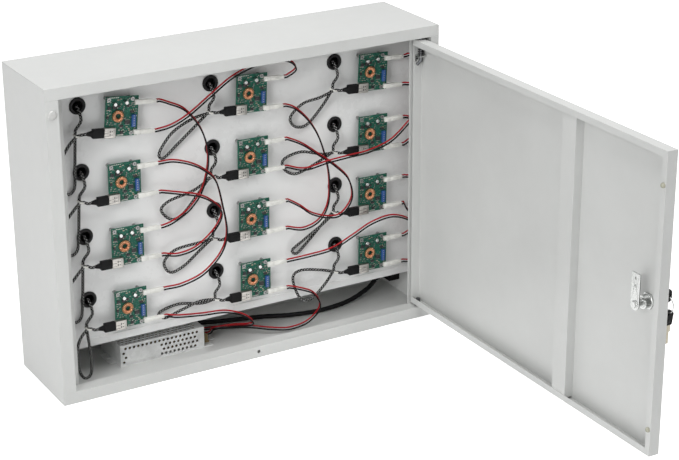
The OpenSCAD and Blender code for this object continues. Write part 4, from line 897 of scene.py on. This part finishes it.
# Spring of the hinge bolt
TOP = 429.0 - SHEET - 0.5 - 1.5
SPRING_L, SPRING_R, SPRING_WIRE_R = 19, 4.1, 0.5
SPRING_TURNS, SPRING_STEPS, SPRING_END = 5, 32, 1.2
coil = Build()
helix = [(SPRING_R, 0, 0)]
rise = SPRING_L - 2 * SPRING_END
for i in range(SPRING_TURNS * SPRING_STEPS + 1):
    a = math.tau * i / SPRING_STEPS
    helix.append((SPRING_R * math.cos(a), SPRING_R * math.sin(a),
                  SPRING_END + rise * i / (SPRING_TURNS * SPRING_STEPS)))
helix.append((SPRING_R, 0, SPRING_L))
coil.tube(helix, SPRING_WIRE_R, 10, hung() @ T_of((0, 0, TOP - SPRING_L)))
spring = coil.make("hinge_spring_smooth", "spring_wire", "service_door_body", ["hinge_spring"],
                   "spring_wire", 60)
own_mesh(spring)

# Keys: one in the lock, a spare one on the ring
HEAD_Y = -7.75 - 2 - 12
HOLE_Y, HOLE_R, HOLE_SIDES = -15.5, 2.5, 20
HEAD_HALF = 2.2
KEY_CUTS = [3.0, 1.9, 2.7, 1.4, 2.3, 3.1, 2.0]


def key(T, tag, body, replaces):
    """A cut blade and a moulded head with a hole for the ring."""
    blade = Build()
    blade.box((-1, -0.5, -6), (1, 10, 6), T, 0.3)
    blade.box((-1, 9.5, -3.8), (1, 26, 1.2), T, 0.25)
    for i, h in enumerate(KEY_CUTS):
        blade.box((-0.9, 10 + 2.2 * i, 0.4), (0.9, 12.3 + 2.2 * i, h + 0.7), T, 0.2)
    for z in (-2.2, -0.4):
        blade.box((-1.04, 1, z), (1.04, 25, z + 0.5), T, 0.02)
    blade.make("key_blade_" + tag, "key_metal", body, slot="bright_steel")
    head = Build()
    outline = []
    for first, cz in ((90, 3), (180, -3)):
        for i in range(9):
            a = math.radians(first + 90 * i / 8)
            outline.append((-14 + 6 * math.cos(a), cz + 6 * math.sin(a)))
    outline += [(-1.0, -7.0), (0.0, -6.4), (0.0, 6.4), (-1.0, 7.0)]
    bm = bmesh.new()
    outer = [bm.verts.new((-HEAD_HALF, y, z)) for y, z in outline]
    inner = [bm.verts.new((-HEAD_HALF, HOLE_Y + HOLE_R * math.cos(math.tau * i / HOLE_SIDES),
                           HOLE_R * math.sin(math.tau * i / HOLE_SIDES)))
             for i in range(HOLE_SIDES)]
    edges = []
    for ring in (outer, inner):
        edges += [bm.edges.new((ring[i - 1], ring[i])) for i in range(len(ring))]
    bmesh.ops.triangle_fill(bm, use_beauty=True, edges=edges)
    ext = bmesh.ops.extrude_face_region(bm, geom=bm.faces[:])
    for v in (g for g in ext["geom"] if isinstance(g, bmesh.types.BMVert)):
        v.co.x += 2 * HEAD_HALF
    bmesh.ops.recalc_face_normals(bm, faces=bm.faces[:])
    head.add_bmesh(bm, T)
    for s in (-1, 1):
        x, out_x = s * HEAD_HALF, s * (HEAD_HALF + 0.25)
        head.box((min(x, out_x), -9.5, -4.5), (max(x, out_x), -3.0, 4.5), T, 0.1)
    head.make("key_head_" + tag, "black_plastic", body, replaces, "black_plastic", 30, 0.5 * MM)


key(hung() @ T_of((LOCK_X, HEAD_Y, LOCK_Z)), "lock", "service_lock", ["door_key"])
RING_OUT, RING_WIRE = 12, 1.6
RING_R = RING_OUT - RING_WIRE / 2
ring_y = HEAD_Y + HOLE_Y
ring_z = LOCK_Z - HOLE_R - RING_OUT + RING_WIRE + 0.45
spare_z = ring_z - RING_OUT + RING_WIRE - 0.03 - HOLE_R
wire = Build()
loop = []
for i in range(97):
    a = math.tau * i / 48 * 0.985
    loop.append((RING_R * math.cos(a), i / 96 - 0.5, RING_R * math.sin(a)))
wire.tube(loop, 0.55, 8, hung() @ T_of((LOCK_X, ring_y, ring_z)))
wire.make("split_ring", "bright_steel", "key_ring", ["spare_key_ring"], "bright_steel", 60)
key(hung() @ T_of((LOCK_X, ring_y, spare_z), Matrix.Rotation(math.radians(-90), 3, "X"))
    @ T_of((0, -HOLE_Y, 0)), "spare", "key_ring", ())

# Cross slots of the boards' screws: black patches, painted shade in the slots
dark = Build()
for r, c in BAYS:
    T = on_board(r, c)
    for x, z in ((-20, 23.75), (14.5, 23.75), (14.5, -23.75)):
        for lo, hi in (((-1.5, -0.35), (1.5, 0.35)), ((-0.35, -1.5), (0.35, 1.5))):
            dark.box((x + lo[0], -1.86, z + lo[1]), (x + hi[0], -1.7, z + hi[1]), T)
dark.make("screw_slot_shade", "chip_plastic", "cabinet", slot="black_plastic")

# Lights, floor and white background
def area(name, loc, target, size, power):
    d = bpy.data.lights.new(name, "AREA")
    d.energy = power
    d.size = size
    o = bpy.data.objects.new(name, d)
    o.location = loc
    o.rotation_euler = (Vector(target) - Vector(loc)).to_track_quat("-Z", "Y").to_euler()
    scene.collection.objects.link(o)


area("overhead", (0.2, -0.9, 3.15), (0, -0.1, 0.2), 2.6, 80)
area("back", (1.2, 3.4, 0.25), (0, 0, 0.2), 1.4, 12)
area("low_left", (-2.6, -1.5, 0.35), (0.25, -0.2, 0.2), 1.0, 12)
area("key", (-2.9, -2.2, 1.9), (0.05, -0.15, 0.2), 1.3, 55)

world = bpy.data.worlds.new("world")
scene.world = world
world.use_nodes = True
nt = world.node_tree
nt.nodes.clear()
w_out = nt.nodes.new("ShaderNodeOutputWorld")
path = nt.nodes.new("ShaderNodeLightPath")
amb = nt.nodes.new("ShaderNodeBackground")
amb.inputs["Color"].default_value = (1, 1, 1, 1)
amb.inputs["Strength"].default_value = 0.23
white = nt.nodes.new("ShaderNodeBackground")
white.inputs["Color"].default_value = (1, 1, 1, 1)
white.inputs["Strength"].default_value = 1.0
glassy = nt.nodes.new("ShaderNodeMath")
glassy.operation = "MAXIMUM"
nt.links.new(path.outputs["Is Glossy Ray"], glassy.inputs[0])
nt.links.new(path.outputs["Is Transmission Ray"], glassy.inputs[1])
any_ray = nt.nodes.new("ShaderNodeMath")
any_ray.operation = "MAXIMUM"
nt.links.new(path.outputs["Is Camera Ray"], any_ray.inputs[0])
nt.links.new(glassy.outputs["Value"], any_ray.inputs[1])
sel = nt.nodes.new("ShaderNodeMixShader")
nt.links.new(any_ray.outputs["Value"], sel.inputs["Fac"])
nt.links.new(amb.outputs["Background"], sel.inputs[1])
nt.links.new(white.outputs["Background"], sel.inputs[2])
nt.links.new(sel.outputs["Shader"], w_out.inputs["Surface"])

m, nt, out = new_material("floor_white")
g = Graph(nt)
dif = nt.nodes.new("ShaderNodeBsdfDiffuse")
dif.inputs["Color"].default_value = (0.82, 0.82, 0.82, 1)
path = nt.nodes.new("ShaderNodeLightPath")
emi = nt.nodes.new("ShaderNodeEmission")
g.link(g.math("MULTIPLY", g.math("MAXIMUM", path.outputs["Is Camera Ray"],
                                 path.outputs["Is Glossy Ray"]), 0.72), emi.inputs["Strength"])
add = nt.nodes.new("ShaderNodeAddShader")
g.link(dif.outputs["BSDF"], add.inputs[0])
g.link(emi.outputs["Emission"], add.inputs[1])
g.link(add.outputs["Shader"], out.inputs["Surface"])
me = bpy.data.meshes.new("floor")
me.from_pydata([(-9, -9, -0.0006), (9, -9, -0.0006), (9, 9, -0.0006), (-9, 9, -0.0006)], [],
               [(0, 1, 2, 3)])
floor = bpy.data.objects.new("floor", me)
scene.collection.objects.link(floor)
me.materials.append(m)
